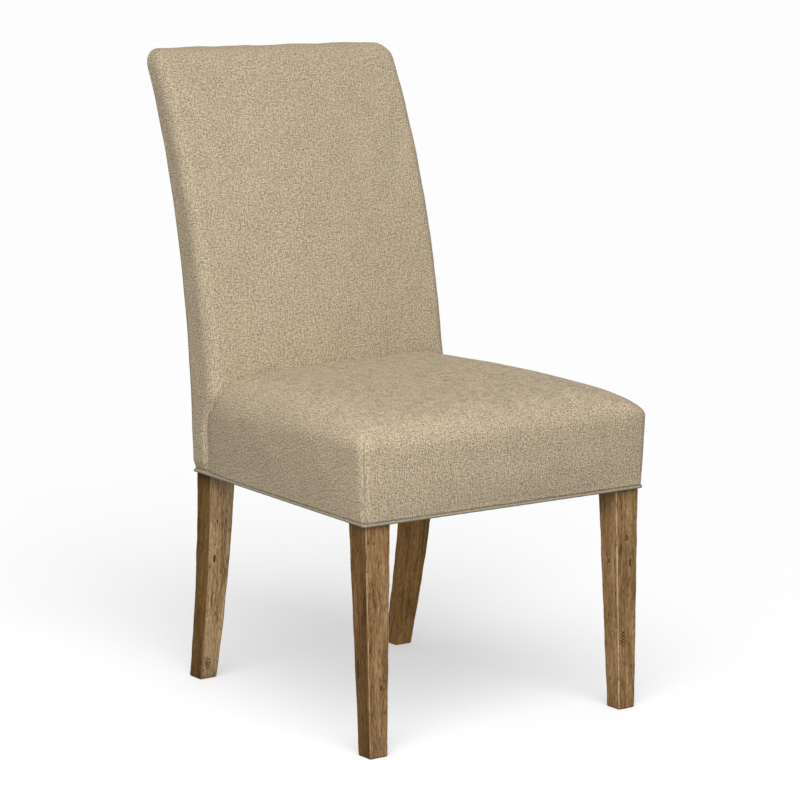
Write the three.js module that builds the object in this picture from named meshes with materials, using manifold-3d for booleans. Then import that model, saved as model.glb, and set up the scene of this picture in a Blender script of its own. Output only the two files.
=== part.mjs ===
// Parsons dining chair: a jointed timber frame, webbed, padded and closed in a sewn cover.
// Millimetres, +Z up, front towards -Y. Depths (y) count from the front legs' front faces;
// the finished group is then centred on its own box.
import * as THREE from 'three';
import { mergeVertices } from 'three/addons/utils/BufferGeometryUtils.js';
import Module from 'manifold-3d';

const wasm = await Module();
wasm.setup();

// Clearances and shared lengths
const fit = 0.3; // gap between pieces that are not glued face to face
const overrun = 60; // length by which a cutting solid passes the piece that it cuts
const blockOverrun = 20; // the same round the head of a front leg
const trimSpan = 1200; // reach of the solids that trim the soft pieces
const tenonThickness = 10;
const tenonReach = 22; // how far a seat rail's tenon goes into its leg
const tenonShoulder = 10; // rail height left above and below a tenon
const tenonRoot = 5; // overlap that joins a tenon to its rail

// Overall sizes, which the frame and the padding follow
const coverEdge = 330; // underside of the upholstery above the floor
const seatHalf = 253.5; // half width of the cushion at the front
const seatLength = 440; // front of the legs to where the seat meets the back
const backTop = 956;

// Front legs
const frontInset = 10.9; // outer side of a leg inside the cushion's widest line
const frontOuter = seatHalf - frontInset;
const frontWidth = 40.4;
const frontDepth = 41;
const frontFootInset = 5.3; // outer side of a foot inside that of its leg
const frontFootOuter = frontOuter - frontFootInset;
const frontFootWidth = 27.8;
const frontFootDepth = 28.4;
const legEase = 1.2; // softened arrises of the exposed legs
const blockCornerRadius = 9; // eased outer corner of a front leg inside the cover

// Rear posts: one sawn piece each, sabre leg below, back stile above
const rearInset = 41.4; // outer side of a post inside the cushion's widest line
const rearOuter = seatHalf - rearInset;
const rearWidth = 44.7;
const rearSetback = 10.2; // front face of a post behind the seat's length
const rearFront = seatLength + rearSetback;
const rearFootInset = 13.8;
const rearFootOuter = rearOuter - rearFootInset;
const rearFootWidth = 29.3;
const rearFootRake = 56.6; // how far a rear foot stands behind its leg's top
const rearFootFront = rearFront + rearFootRake;
const rearFootDepth = 31.7;
const rearDepth = 37;
const rearBow = 6.4; // forward bow of the sabre leg at half height
const stileWidth = 34;
const stileTopDepth = 17.5;
const stileTaperEnd = 480; // height where a post has narrowed to the stile's width
const crestCornerRadius = 22;

// Seat rails
const railLift = 3; // rails' underside above the cover's edge
const railHeight = 70;
const railThickness = 22;
const railBottom = coverEdge + railLift;
const railTop = railBottom + railHeight;

// Back surface: its rear face bends as a cubic in the height share above the cover's edge
const backSpanShort = 26; // the share reaches 1 this far below the top
const backSpan = backTop - coverEdge - backSpanShort;
const backInset = 36.5; // side of the back inside the cushion's widest line, at the cover's edge
const backHalf = seatHalf - backInset;
const backFlare = 1; // added half width over the span
const backSetback = 48.2; // rear face of the back behind the seat's length
const backRear = seatLength + backSetback;
const backLean = [11, 61.7, 43.8]; // y added per first, second and third power of the share
const backThick = 66; // thickness at the cover's edge, before the tuck
const backThin = 29; // thickness lost over the span
const backTuck = 13; // thickness lost where the seat presses against the back
const tuckLow = 400; // heights between which that loss fades
const tuckHigh = 500;
const backCrown = 8; // forward swell of the inside back's middle
const backEdgeWide = 18; // rounding of the inside back's edge, across
const backEdgeDeep = 22; // and front to back
const backEdgeTight = 12; // the same rounding at the seat
const backCornerRadius = 24;
const domeDrop = 30; // the back's surface is drawn this far below the cover's edge, then cut
const backDomeFloor = coverEdge - domeDrop;

// Cushion surface: outline at its widest, and the way it draws in below and crowns above
const seatTaper = 32.5; // half width lost over the seat's length
const seatFront = -9.6;
const seatOverdraw = 35; // the surface is drawn this far behind the seat's length, then cut
const seatRearPlane = seatLength + seatOverdraw;
const seatSwell = 6; // swell of the cushion's edge over its drawn-in sides, at the front
const seatFrontSwell = 5;
const swellFrontZ = 436; // height of the widest line at the front and at the rear
const swellRearZ = 418;
const seatFrontTop = 470;
const seatRearTop = 491;
const edgeReachFront = 50; // width of the rounding between side and crown
const edgeReachRear = 78;
const seatCornerLow = 9; // plan radius of the front corners at the edge and at the widest line
const seatCornerHigh = 16;
const cornerGrowthShare = 0.8; // radius gained for each unit of inset above the widest line

// Cloth and padding
const coverThick = 1.5;
const battingThick = 2;
const battingFace = coverThick + fit;
const battingBack = battingFace + battingThick;
const foamFace = battingBack + fit;
const weltRadius = 2.3;
const weltProud = 0.4;
const weltRadiusRear = 6;
const weltOverhang = 4.4; // rear of the welt behind the back's rear face
const weltRear = backRear + weltOverhang;
const weltLift = 0.1;
const flangeReach = 12;
const flangeThick = 0.8;
const coverBottom = coverEdge + weltLift + 2 * weltRadius + fit;
const panelThick = 1.2;
const panelProud = 0.5;
const panelGap = 0.9; // between the outside back and the cover round it
const postBehind = 1; // rear faces of the posts in front of the back's rear surface
const battingRim = 3.5; // rear rim of the back's batting in front of that surface
const seamSetback = 16; // seam between the seat's side and the back's side, behind the seat's length
const sideSeam = seatLength + seamSetback;
const seamGap = 0.6;

// Webbing
const strapWidth = 50;
const strapThick = 1.5;
const strapWeave = 0.9; // half the height that woven straps rise and fall
const strapFlat = 28; // half the level stretch at a crossing
const strapInset = 4; // strap ends inside the rails' outer faces
const longStrapShares = [-0.544, 0, 0.544]; // of the half width between the front legs
const longStraps = longStrapShares.map((share) => share * (frontOuter - frontWidth));
const crossStrapShares = [0.289, 0.533, 0.777]; // of the depth in front of the rear posts
const crossStraps = crossStrapShares.map((share) => share * rearFront);
const foamBottom = railTop + 2 * strapWeave + strapThick + fit;

// Back rails
const lowerRail = [425, 475];
const middleRailHeight = 40;
const middleRailShare = 0.583; // middle rail's centre, from the lower rail up to the crest rail
const crestHeight = 72.4;
const crestGap = 1.5; // foam over the crest rail's top
const crestTop = backTop - foamFace - crestGap;
const crestBottom = crestTop - crestHeight;
const middleRailCentre = lerp(lowerRail[1], crestBottom, middleRailShare);
const middleRail = [middleRailCentre - middleRailHeight / 2, middleRailCentre + middleRailHeight / 2];
const backStrapShares = [0.161, 0.459, 0.757]; // between the same two rails
const backStraps = backStrapShares.map((share) => lerp(lowerRail[1], crestBottom, share));
const lowerRailSetback = 6;
const lowerRailThick = 20;
const middleRailThick = 16;
const backTenonThick = 7;
const backTenonReach = 18;
const backTenonShoulder = 8;
const stripHeight = 12;
const stripThick = 1.2;
const stripDrop = 10;
const backFoamBottom = 440;
const backCoverGap = 5; // lower edge of the inside back's front above the rails

// Corner blocks and their screws
const blockHeight = 45;
const blockLift = 12;
const blockRun = 56; // length of a block along a front or rear rail
const blockSideRun = 55;
const blockEnd = 8; // thickness left at a block's two ends
const railScrewShare = 0.3; // places of the two screws along a block's free face
const sideScrewShare = 0.7;
const screwRadius = 2;
const screwHeadRadius = 4.2;
const screwHeadHeight = 2.6;
const screwPoint = 5;
const screwBite = 15; // depth of a screw in its rail

// Steps in which curves are drawn
const postSteps = 8;
const cornerSteps = 4;
const weltCornerSteps = 5;
const weltSides = 8;
const screwSides = 12;

// Colours and surfaces
const clothColour = 0xb6a78e;
const weltColour = 0x9c937f;
const legColour = 0x86694a;
const frameColour = 0xc9a877;
const foamColour = 0xe6dcc2;
const battingColour = 0xf1efe9;
const webColour = 0x8e8468;
const dustColour = 0x222222;
const cardColour = 0xa99b7e;
const steelColour = 0xa9aaa8;
const clothRough = 0.95;
const woodRough = 0.62;
const steelRough = 0.38;

const chair = new THREE.Group();
chair.name = 'parsons_chair';

// Solids and booleans
function toManifold(geometry) {
  const bare = new THREE.BufferGeometry();
  bare.setAttribute('position', geometry.getAttribute('position').clone());
  if (geometry.index) bare.setIndex(geometry.index.clone());
  const welded = mergeVertices(bare);
  const mesh = new wasm.Mesh({
    numProp: 3,
    vertProperties: new Float32Array(welded.getAttribute('position').array),
    triVerts: new Uint32Array(welded.index.array),
  });
  return new wasm.Manifold(mesh);
}

function toGeometry(manifold) {
  const mesh = manifold.getMesh();
  const geometry = new THREE.BufferGeometry();
  geometry.setAttribute('position', new THREE.BufferAttribute(mesh.vertProperties, 3));
  geometry.setIndex(new THREE.BufferAttribute(mesh.triVerts, 1));
  return geometry;
}

function subtract(geometry, ...tools) {
  return toGeometry(tools.reduce((body, tool) => body.subtract(toManifold(tool)), toManifold(geometry)));
}

function unite(geometry, ...others) {
  return toGeometry(others.reduce((body, other) => body.add(toManifold(other)), toManifold(geometry)));
}

function addPiece(name, geometry, colour, roughness, metalness = 0) {
  const flat = geometry.index ? geometry.toNonIndexed() : geometry;
  flat.computeVertexNormals();
  const material = new THREE.MeshStandardMaterial({ color: colour, roughness, metalness });
  const mesh = new THREE.Mesh(flat, material);
  mesh.name = name;
  chair.add(mesh);
}

// Turns the faces outwards when the enclosed volume comes out negative
function outward(points, faces) {
  const volume = faces.reduce((sum, [a, b, c]) => {
    const normal = new THREE.Vector3().crossVectors(points[b], points[c]);
    return sum + points[a].dot(normal);
  }, 0);
  const ordered = volume < 0 ? faces.map(([a, b, c]) => [a, c, b]) : faces;
  const geometry = new THREE.BufferGeometry().setFromPoints(points);
  geometry.setIndex(ordered.flat());
  return geometry;
}

// Faces between two neighbouring rings of one length, or between a ring and a point
function bandFaces(start, next, count, isPoint) {
  const faces = [];
  for (let i = 0; i < count; i += 1) {
    const j = (i + 1) % count;
    if (isPoint) {
      faces.push([start + i, start + j, next]);
    } else {
      faces.push([start + i, start + j, next + j]);
      faces.push([start + i, next + j, next + i]);
    }
  }
  return faces;
}

function flipped(faces) {
  return faces.map(([a, b, c]) => [a, c, b]);
}

// Faces of the surface through rings, numbered from a first point; end rings may be points
function surfaceFaces(rings, first) {
  const faces = [];
  let start = first;
  for (let k = 0; k + 1 < rings.length; k += 1) {
    const here = rings[k].length;
    const there = rings[k + 1].length;
    if (here === 1) {
      faces.push(...flipped(bandFaces(start + 1, start, there, true)));
    } else {
      faces.push(...bandFaces(start, start + here, here, there === 1));
    }
    start += here;
  }
  return faces;
}

// A closed solid through rings
function loft(rings) {
  return outward(rings.flat(), surfaceFaces(rings, 0));
}

function centreOf(ring) {
  const sum = ring.reduce((total, point) => total.add(point), new THREE.Vector3());
  return sum.divideScalar(ring.length);
}

function cappedLoft(rings) {
  return loft([[centreOf(rings[0])], ...rings, [centreOf(rings[rings.length - 1])]]);
}

// A box between two corners
function boxBetween(low, high) {
  const size = low.map((value, axis) => high[axis] - value);
  const box = new THREE.BoxGeometry(...size);
  box.translate(...low.map((value, axis) => (value + high[axis]) / 2));
  return box;
}

function polygonShape(points) {
  return new THREE.Shape(points.map(([a, b]) => new THREE.Vector2(a, b)));
}

function extruded(outline, depth) {
  return new THREE.ExtrudeGeometry(polygonShape(outline), { depth, bevelEnabled: false });
}

// A plan outline raised between two heights
function prismZ(plan, bottom, top) {
  const prism = extruded(plan, top - bottom);
  prism.translate(0, 0, bottom);
  return prism;
}

// A side outline (y, z) run between two widths
function prismX(outline, left, right) {
  const prism = extruded(outline, right - left);
  const across = new THREE.Matrix4().makeBasis(
    new THREE.Vector3(0, 1, 0),
    new THREE.Vector3(0, 0, 1),
    new THREE.Vector3(1, 0, 0),
  );
  prism.applyMatrix4(across);
  prism.translate(left, 0, 0);
  return prism;
}

// An outline in (x, z) run between two depths
function prismY(outline, front, rear) {
  const prism = extruded(outline, rear - front);
  prism.rotateX(Math.PI / 2);
  prism.translate(0, rear, 0);
  return prism;
}

function lerp(from, to, share) {
  return from + (to - from) * share;
}

function smooth(share) {
  const held = Math.min(Math.max(share, 0), 1);
  return held * held * (3 - 2 * held);
}

function shares(count) {
  return Array.from({ length: count + 1 }, (_, i) => i / count);
}

// The frame's outer line in plan runs straight from the front legs to the rear posts
function frameOuter(depth) {
  return lerp(frontOuter, rearOuter, depth / (rearFront + rearDepth));
}

// The back's surfaces
function heightShare(height) {
  return (height - coverEdge) / backSpan;
}

function rearFace(height) {
  const share = heightShare(height);
  const [first, second, third] = backLean;
  return backRear + first * share + second * share ** 2 + third * share ** 3;
}

function backWidth(height) {
  return backHalf + backFlare * heightShare(height);
}

function tuckFade(height) {
  return smooth((height - tuckLow) / (tuckHigh - tuckLow));
}

function backThickness(height) {
  return backThick - backThin * heightShare(height) - backTuck * (1 - tuckFade(height));
}

function stileDepth(height) {
  const share = (height - railTop) / (crestTop - railTop);
  return lerp(rearFace(railTop) - postBehind - rearFront, stileTopDepth, share);
}

function postRear(height) {
  return rearFace(height) - postBehind;
}

function stileFront(height) {
  return postRear(height) - stileDepth(height);
}

// Legs and posts: rectangular sections with eased corners, one ring for each height
function sectionRing(inner, outer, front, rear, height, side, ease) {
  const corners = [
    [inner + ease, front], [outer - ease, front], [outer, front + ease], [outer, rear - ease],
    [outer - ease, rear], [inner + ease, rear], [inner, rear - ease], [inner, front + ease],
  ];
  return corners.map(([x, y]) => new THREE.Vector3(side * x, y, height));
}

function frontLegTaper(side) {
  const foot = sectionRing(
    frontFootOuter - frontFootWidth, frontFootOuter, 0, frontFootDepth, 0, side, legEase,
  );
  const sections = [coverEdge, railTop].map((height) => sectionRing(
    frontOuter - frontWidth, frontOuter, 0, frontDepth, height, side, legEase,
  ));
  return cappedLoft([foot, ...sections]);
}

// Plan of a front leg inside the cover: outer side in line with the rail, outer corner rounded
function frontBlockPlan() {
  const inner = frontOuter - frontWidth;
  const turn = shares(cornerSteps).map((share) => {
    const angle = (share - 1) * Math.PI / 2;
    return [
      frontOuter - blockCornerRadius + blockCornerRadius * Math.cos(angle),
      blockCornerRadius + blockCornerRadius * Math.sin(angle),
    ];
  });
  return [[inner, 0], ...turn, [frameOuter(frontDepth), frontDepth], [inner, frontDepth]];
}

function mirrored(plan, side) {
  return plan.map(([x, y]) => [side * x, y]);
}

function frontBlockTrim(side) {
  const reach = frontWidth + blockOverrun;
  const around = boxBetween(
    [side * frontOuter - reach, -blockOverrun, coverEdge],
    [side * frontOuter + reach, frontDepth + blockOverrun, railTop + blockOverrun],
  );
  const kept = prismZ(mirrored(frontBlockPlan(), side), coverEdge - overrun, railTop + overrun);
  return subtract(around, kept);
}

function frontLeg(side) {
  return subtract(
    frontLegTaper(side),
    frontBlockTrim(side),
    frontRailTenon(side, fit),
    sideRailTenon(side, 0, fit),
  );
}

function rearLegRing(share, side) {
  const height = coverEdge * share;
  const front = lerp(rearFootFront, rearFront, share) - 4 * rearBow * share * (1 - share);
  const outer = lerp(rearFootOuter, rearOuter, share);
  const width = lerp(rearFootWidth, rearWidth, share);
  const depth = lerp(rearFootDepth, rearDepth, share);
  return sectionRing(outer - width, outer, front, front + depth, height, side, legEase);
}

function stileInner(height) {
  const share = smooth((height - railTop) / (stileTaperEnd - railTop));
  return lerp(rearOuter - rearWidth, rearOuter - stileWidth, share);
}

function stileOuter(height) {
  const straight = rearOuter + backFlare * Math.max(heightShare(height), 0);
  const above = height - (crestTop - crestCornerRadius);
  if (above <= 0) return straight;
  return straight - crestCornerRadius + Math.sqrt(Math.max(crestCornerRadius ** 2 - above ** 2, 0));
}

function stileRing(height, side) {
  return sectionRing(
    stileInner(height), stileOuter(height), stileFront(height), postRear(height), height, side, legEase,
  );
}

function postHeights() {
  const shoulder = crestTop - crestCornerRadius;
  const straight = shares(2 * postSteps).slice(1).map((share) => lerp(railTop, shoulder, share));
  const corner = shares(cornerSteps).slice(1).map((share) => (
    shoulder + crestCornerRadius * Math.sin(share * Math.PI / 2)
  ));
  return [...straight, ...corner];
}

function rearPostBlank(side) {
  const leg = shares(postSteps).map((share) => rearLegRing(share, side));
  const seat = sectionRing(
    rearOuter - rearWidth, rearOuter, rearFront, postRear(railTop), railTop, side, legEase,
  );
  return cappedLoft([...leg, seat, ...postHeights().map((height) => stileRing(height, side))]);
}

function rearPost(side) {
  return subtract(
    rearPostBlank(side),
    sideRailTenon(side, 1, fit),
    rearRailTenon(side, fit),
    backRailTenon(lowerRail, lowerRailFront, lowerRailThick, side, fit),
    backRailTenon(middleRail, stileFront, middleRailThick, side, fit),
    backRailTenon([crestBottom, crestTop - crestCornerRadius], stileFront, crestThick(), side, fit),
  );
}

// Seat rails with their tenons
function tenonHeights(grow) {
  return [railBottom + tenonShoulder - grow, railTop - tenonShoulder + grow];
}

// Both cross rails: a tenon's box, and a rail with its two tenons
function crossTenon(inner, railFront, side, grow) {
  const [bottom, top] = tenonHeights(grow);
  const ends = [side * (inner - tenonRoot), side * (inner + tenonReach + grow)].sort((a, b) => a - b);
  const middle = railFront + railThickness / 2;
  return boxBetween(
    [ends[0], middle - tenonThickness / 2 - grow, bottom],
    [ends[1], middle + tenonThickness / 2 + grow, top],
  );
}

function crossRail(inner, railFront) {
  const body = boxBetween([-inner, railFront, railBottom], [inner, railFront + railThickness, railTop]);
  return unite(body, crossTenon(inner, railFront, -1, 0), crossTenon(inner, railFront, 1, 0));
}

function frontRailTenon(side, grow) {
  return crossTenon(frontOuter - frontWidth, 0, side, grow);
}

function frontRail() {
  return crossRail(frontOuter - frontWidth, 0);
}

function rearRailFront() {
  return rearFront + rearDepth - railThickness;
}

function rearRailTenon(side, grow) {
  return crossTenon(rearOuter - rearWidth, rearRailFront(), side, grow);
}

function rearRail() {
  return crossRail(rearOuter - rearWidth, rearRailFront());
}

// Plan of a strip along the side rail's centre line, between two depths
function sideStrip(front, rear, halfThickness, side) {
  const line = (depth, shift) => frameOuter(depth) - railThickness / 2 + shift;
  const plan = [
    [line(front, halfThickness), front],
    [line(rear, halfThickness), rear],
    [line(rear, -halfThickness), rear],
    [line(front, -halfThickness), front],
  ];
  return mirrored(plan, side);
}

// The tenon at a side rail's front end (0) or rear end (1)
function sideRailTenon(side, end, grow) {
  const [bottom, top] = tenonHeights(grow);
  const span = end === 0
    ? [frontDepth - tenonReach - grow, frontDepth + tenonRoot]
    : [rearFront - tenonRoot, rearFront + tenonReach + grow];
  return prismZ(sideStrip(...span, tenonThickness / 2 + grow, side), bottom, top);
}

function sideRail(side) {
  const plan = sideStrip(frontDepth + fit, rearFront - fit, railThickness / 2, side);
  const body = prismZ(plan, railBottom, railTop);
  return unite(body, sideRailTenon(side, 0, 0), sideRailTenon(side, 1, 0));
}

function sideRailInner(depth) {
  return frameOuter(depth) - railThickness;
}

// Back rails: side outlines that follow the stiles' curve, run across between the stiles
function curvedOutline(heights, front, rear) {
  const [low, high] = heights;
  const levels = shares(cornerSteps).map((share) => lerp(low, high, share));
  const up = levels.map((height) => [front(height), height]);
  const down = [...levels].reverse().map((height) => [rear(height), height]);
  return [...up, ...down].reverse();
}

function lowerRailFront(height) {
  return stileFront(height) + lowerRailSetback;
}

function crestThick() {
  return stileTopDepth - stripThick - 2 * fit;
}

function backRailTenon(heights, front, thickness, side, grow) {
  const span = [heights[0] + backTenonShoulder - grow, heights[1] - backTenonShoulder + grow];
  const lead = (thickness - backTenonThick) / 2;
  const outline = curvedOutline(
    span,
    (height) => front(height) + lead - grow,
    (height) => front(height) + lead + backTenonThick + grow,
  );
  const inner = stileInner(heights[0]);
  const ends = [side * (inner - tenonRoot), side * (inner + backTenonReach + grow)].sort((a, b) => a - b);
  return prismX(outline, ...ends);
}

function backRail(heights, front, thickness, tenonSpan) {
  const half = stileInner(heights[0]) - fit;
  const body = prismX(curvedOutline(heights, front, (height) => front(height) + thickness), -half, half);
  return unite(
    body,
    backRailTenon(tenonSpan, front, thickness, -1, 0),
    backRailTenon(tenonSpan, front, thickness, 1, 0),
  );
}

// Corner blocks: a plan outline that fits round the leg, and two screws into the rails
function frontBlockCorner() {
  const inner = frontOuter - frontWidth;
  return [
    [inner - blockRun, railThickness],
    [inner - fit, railThickness],
    [inner - fit, frontDepth + fit],
    [sideRailInner(frontDepth + fit) - fit, frontDepth + fit],
    [sideRailInner(frontDepth + blockSideRun) - fit, frontDepth + blockSideRun],
    [sideRailInner(frontDepth + blockSideRun) - blockEnd, frontDepth + blockSideRun],
    [inner - blockRun, railThickness + blockEnd],
  ];
}

function rearBlockCorner() {
  const inner = rearOuter - rearWidth;
  return [
    [inner - blockRun, rearRailFront()],
    [inner - blockRun, rearRailFront() - blockEnd],
    [sideRailInner(rearFront - blockSideRun) - blockEnd, rearFront - blockSideRun],
    [sideRailInner(rearFront - blockSideRun) - fit, rearFront - blockSideRun],
    [sideRailInner(rearFront - fit) - fit, rearFront - fit],
    [inner - fit, rearFront - fit],
    [inner - fit, rearRailFront()],
  ];
}

// Point on a block's free face, and the screws that start there
function facePoint(from, to, share) {
  return [lerp(from[0], to[0], share), lerp(from[1], to[1], share)];
}

// A countersunk screw's profile turned round its axis; grown, it is the hole for the screw
function screwShape(length, grow) {
  const profile = [
    [0, -grow],
    [screwHeadRadius + grow, -grow],
    [screwHeadRadius + grow, 0],
    [screwRadius + grow, screwHeadHeight],
    [screwRadius + grow, length - screwPoint],
    [0, length + grow],
  ];
  return new THREE.LatheGeometry(profile.map(([r, h]) => new THREE.Vector2(r, h)), screwSides);
}

// A screw whose head lies at (x, y), sunk below the face, running along a plan direction
function screwAt(head, direction, length, grow) {
  const shape = screwShape(length, grow);
  const turn = new THREE.Quaternion().setFromUnitVectors(
    new THREE.Vector3(0, 1, 0),
    new THREE.Vector3(direction[0], direction[1], 0),
  );
  shape.applyQuaternion(turn);
  shape.translate(head[0], head[1], railBottom + blockLift + blockHeight / 2);
  return shape;
}

// A screw through a block's flank into the side rail
function sideScrewLine(flank, side) {
  const start = flank[0] + screwHeadRadius;
  return {
    head: [side * start, flank[1]],
    direction: [side, 0],
    length: sideRailInner(flank[1]) - start + screwBite,
  };
}

function frontScrewLines(side) {
  const corner = frontBlockCorner();
  const rail = facePoint(corner[6], corner[5], railScrewShare);
  const flank = facePoint(corner[6], corner[5], sideScrewShare);
  const start = rail[1] - screwHeadRadius;
  const intoRail = {
    head: [side * rail[0], start],
    direction: [0, -1],
    length: start - railThickness + screwBite,
  };
  return [intoRail, sideScrewLine(flank, side)];
}

function rearScrewLines(side) {
  const corner = rearBlockCorner();
  const rail = facePoint(corner[1], corner[2], railScrewShare);
  const flank = facePoint(corner[1], corner[2], sideScrewShare);
  const start = rail[1] + screwHeadRadius;
  const intoRail = {
    head: [side * rail[0], start],
    direction: [0, 1],
    length: rearRailFront() - start + screwBite,
  };
  return [intoRail, sideScrewLine(flank, side)];
}

// The way in for a screw's head: a counterbore from the head out through the block's face
function screwBore(line) {
  const [x, y] = line.head;
  const [dx, dy] = line.direction;
  const bore = new THREE.CylinderGeometry(
    screwHeadRadius + fit, screwHeadRadius + fit, overrun, screwSides,
  );
  bore.rotateZ(dx === 0 ? 0 : Math.PI / 2);
  const shift = overrun / 2 + fit / 2;
  bore.translate(x - dx * shift, y - dy * shift, railBottom + blockLift + blockHeight / 2);
  return bore;
}

function screwHole(line) {
  return screwAt(line.head, line.direction, line.length, fit);
}

function cornerBlock(corner, lines, side) {
  const bottom = railBottom + blockLift;
  const body = prismZ(mirrored(corner, side), bottom, bottom + blockHeight);
  return subtract(body, ...lines.map(screwHole), ...lines.map(screwBore));
}

// Webbing: a flat ribbon that rises and falls over the straps it crosses
function weavePath(crossings, ends, startsHigh) {
  const base = railTop + strapThick / 2;
  const middle = base + strapWeave;
  const path = [[ends[0], base], [ends[0] + strapWidth / 2, base]];
  crossings.forEach((place, i) => {
    const high = (i % 2 === 0) === startsHigh;
    const level = middle + (high ? strapWeave : -strapWeave);
    path.push([place - strapFlat, level], [place + strapFlat, level]);
  });
  path.push([ends[1] - strapWidth / 2, base], [ends[1], base]);
  return path;
}

function ribbonOutline(path) {
  const top = path.map(([along, height]) => [along, height + strapThick / 2]);
  const under = path.map(([along, height]) => [along, height - strapThick / 2]);
  return [...under, ...top.reverse()];
}

function longStrap(across, index) {
  const ends = [strapInset, rearFront + rearDepth - strapInset];
  const outline = ribbonOutline(weavePath(crossStraps, ends, index % 2 === 0));
  return prismX(outline, across - strapWidth / 2, across + strapWidth / 2);
}

function crossStrap(depth, index) {
  const half = frameOuter(depth + strapWidth / 2) - strapInset;
  const outline = ribbonOutline(weavePath(longStraps, [-half, half], index % 2 === 1));
  return prismY(outline, depth - strapWidth / 2, depth + strapWidth / 2);
}

function backStrap(height) {
  const half = rearOuter - strapInset;
  const span = [height - strapWidth / 2, height + strapWidth / 2];
  const outline = curvedOutline(
    span,
    (level) => stileFront(level) - fit - strapThick,
    (level) => stileFront(level) - fit,
  );
  return prismX(outline, -half, half);
}

// Rings of a cushion that rounds over three edges and runs flat to the fourth
function edgeRing(sideAt, closed, open, radius, counts) {
  const [alongCount, turnCount, acrossCount] = counts;
  const start = closed + radius;
  const half = sideAt(start) - radius;
  const left = shares(alongCount).map((share) => {
    const along = lerp(open, start, share);
    return [-sideAt(along), along];
  });
  const turn = shares(turnCount).slice(1, -1).map((share) => {
    const angle = share * Math.PI / 2;
    return [-half - radius * Math.cos(angle), start - radius * Math.sin(angle)];
  });
  const halfOutline = [...left, ...turn];
  const across = shares(acrossCount).map((share) => [lerp(-half, half, share), closed]);
  const right = [...halfOutline].reverse().map(([u, v]) => [-u, v]);
  return [...halfOutline, ...across, ...right, [0, open]];
}

function shrunk(ring, centre, share) {
  return ring.map(([u, v]) => [lerp(centre[0], u, share), lerp(centre[1], v, share)]);
}

// Moves each ring point along the surface's normal; positive goes inwards
function offsetRings(rings, distance) {
  const points = rings.flat();
  const normals = points.map(() => new THREE.Vector3());
  surfaceFaces(rings, 0).forEach((face) => {
    const [a, b, c] = face.map((i) => points[i]);
    const edge = new THREE.Vector3().subVectors(b, a);
    const normal = edge.cross(new THREE.Vector3().subVectors(c, a)).normalize();
    face.forEach((i) => normals[i].add(normal));
  });
  const moved = points.map((point, i) => point.clone().addScaledVector(normals[i].normalize(), -distance));
  let next = 0;
  return rings.map((ring) => {
    const slice = moved.slice(next, next + ring.length);
    next += ring.length;
    return slice;
  });
}

// A skin between two depths below a ringed surface, open at its first ring
function skin(rings, face, back) {
  const outer = offsetRings(rings, face).flat();
  const inner = offsetRings(rings, back).flat();
  const rim = bandFaces(outer.length, 0, rings[0].length, false);
  return outward(
    [...outer, ...inner],
    [...surfaceFaces(rings, 0), ...flipped(surfaceFaces(rings, outer.length)), ...rim],
  );
}

// The whole volume below a ringed surface, closed across its first ring at a given point
function volume(rings, face, floorPoint) {
  return loft([[floorPoint], ...offsetRings(rings, face)]);
}

// The seat cushion's surface
const sideShares = [
  { share: 0, draw: 0.95 },
  { share: 0.3, draw: 1.05 },
  { share: 0.56, draw: 0.8 },
  { share: 0.8, draw: 0.35 },
];
const topInsets = [0, 1.5, 5, 11, 20, 34, 54, 82];
const innerShares = [0.7, 0.42, 0.18];
const seatCounts = [6, 5, 6];

function seatRunShare(depth) {
  return Math.min(Math.max(depth / seatLength, 0), 1);
}

function seatSide(depth) {
  return seatHalf - seatTaper * depth / seatLength;
}

function swellHeight(depth) {
  return lerp(swellFrontZ, swellRearZ, seatRunShare(depth));
}

function crownHeight(depth) {
  const rest = 1 - seatRunShare(depth);
  return lerp(seatFrontTop, seatRearTop, 1 - rest * rest);
}

function seatTopPoint([x, y], inset) {
  const reach = lerp(edgeReachFront, edgeReachRear, seatRunShare(y));
  const left = 1 - Math.min(inset / reach, 1);
  const base = swellHeight(y);
  return new THREE.Vector3(x, y, base + (crownHeight(y) - base) * Math.sqrt(1 - left * left));
}

function seatSideRing({ share, draw }) {
  const sideAt = (depth) => seatSide(depth) - draw * seatSwell * (1 - seatRunShare(depth));
  const radius = lerp(seatCornerLow, seatCornerHigh, share);
  const ring = edgeRing(sideAt, seatFront + draw * seatFrontSwell, seatRearPlane, radius, seatCounts);
  return ring.map(([x, y]) => new THREE.Vector3(x, y, lerp(coverBottom, swellHeight(y), share)));
}

function seatPlan(inset) {
  const radius = seatCornerHigh + cornerGrowthShare * inset;
  return edgeRing((depth) => seatSide(depth) - inset, seatFront + inset, seatRearPlane, radius, seatCounts);
}

function seatRings() {
  const sides = sideShares.map(seatSideRing);
  const tops = topInsets.map((inset) => seatPlan(inset).map((point) => seatTopPoint(point, inset)));
  const last = topInsets[topInsets.length - 1];
  const centre = [0, seatRearPlane / 2];
  const inner = innerShares.map((share) => shrunk(seatPlan(last), centre, share)
    .map((point) => seatTopPoint(point, edgeReachRear)));
  return [...sides, ...tops, ...inner, [seatTopPoint(centre, edgeReachRear)]];
}

// The back's surface: rings in (x, distance below the top), from the rear rim to the middle
const backCounts = [9, 5, 6];
const edgeTurnShares = [0, 0.22, 0.44, 0.66, 0.84, 1];
const backInnerShares = [0.86, 0.7, 0.5, 0.3, 0.12];

function backEdge(height, tight, loose) {
  return lerp(tight, loose, tuckFade(height));
}

function backRingPlan(inset) {
  return edgeRing(
    (drop) => backWidth(backTop - drop) - inset(backTop - drop),
    inset(backTop),
    backTop - backDomeFloor,
    Math.max(backCornerRadius - inset(backTop) / 2, backEdgeTight),
    backCounts,
  );
}

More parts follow.
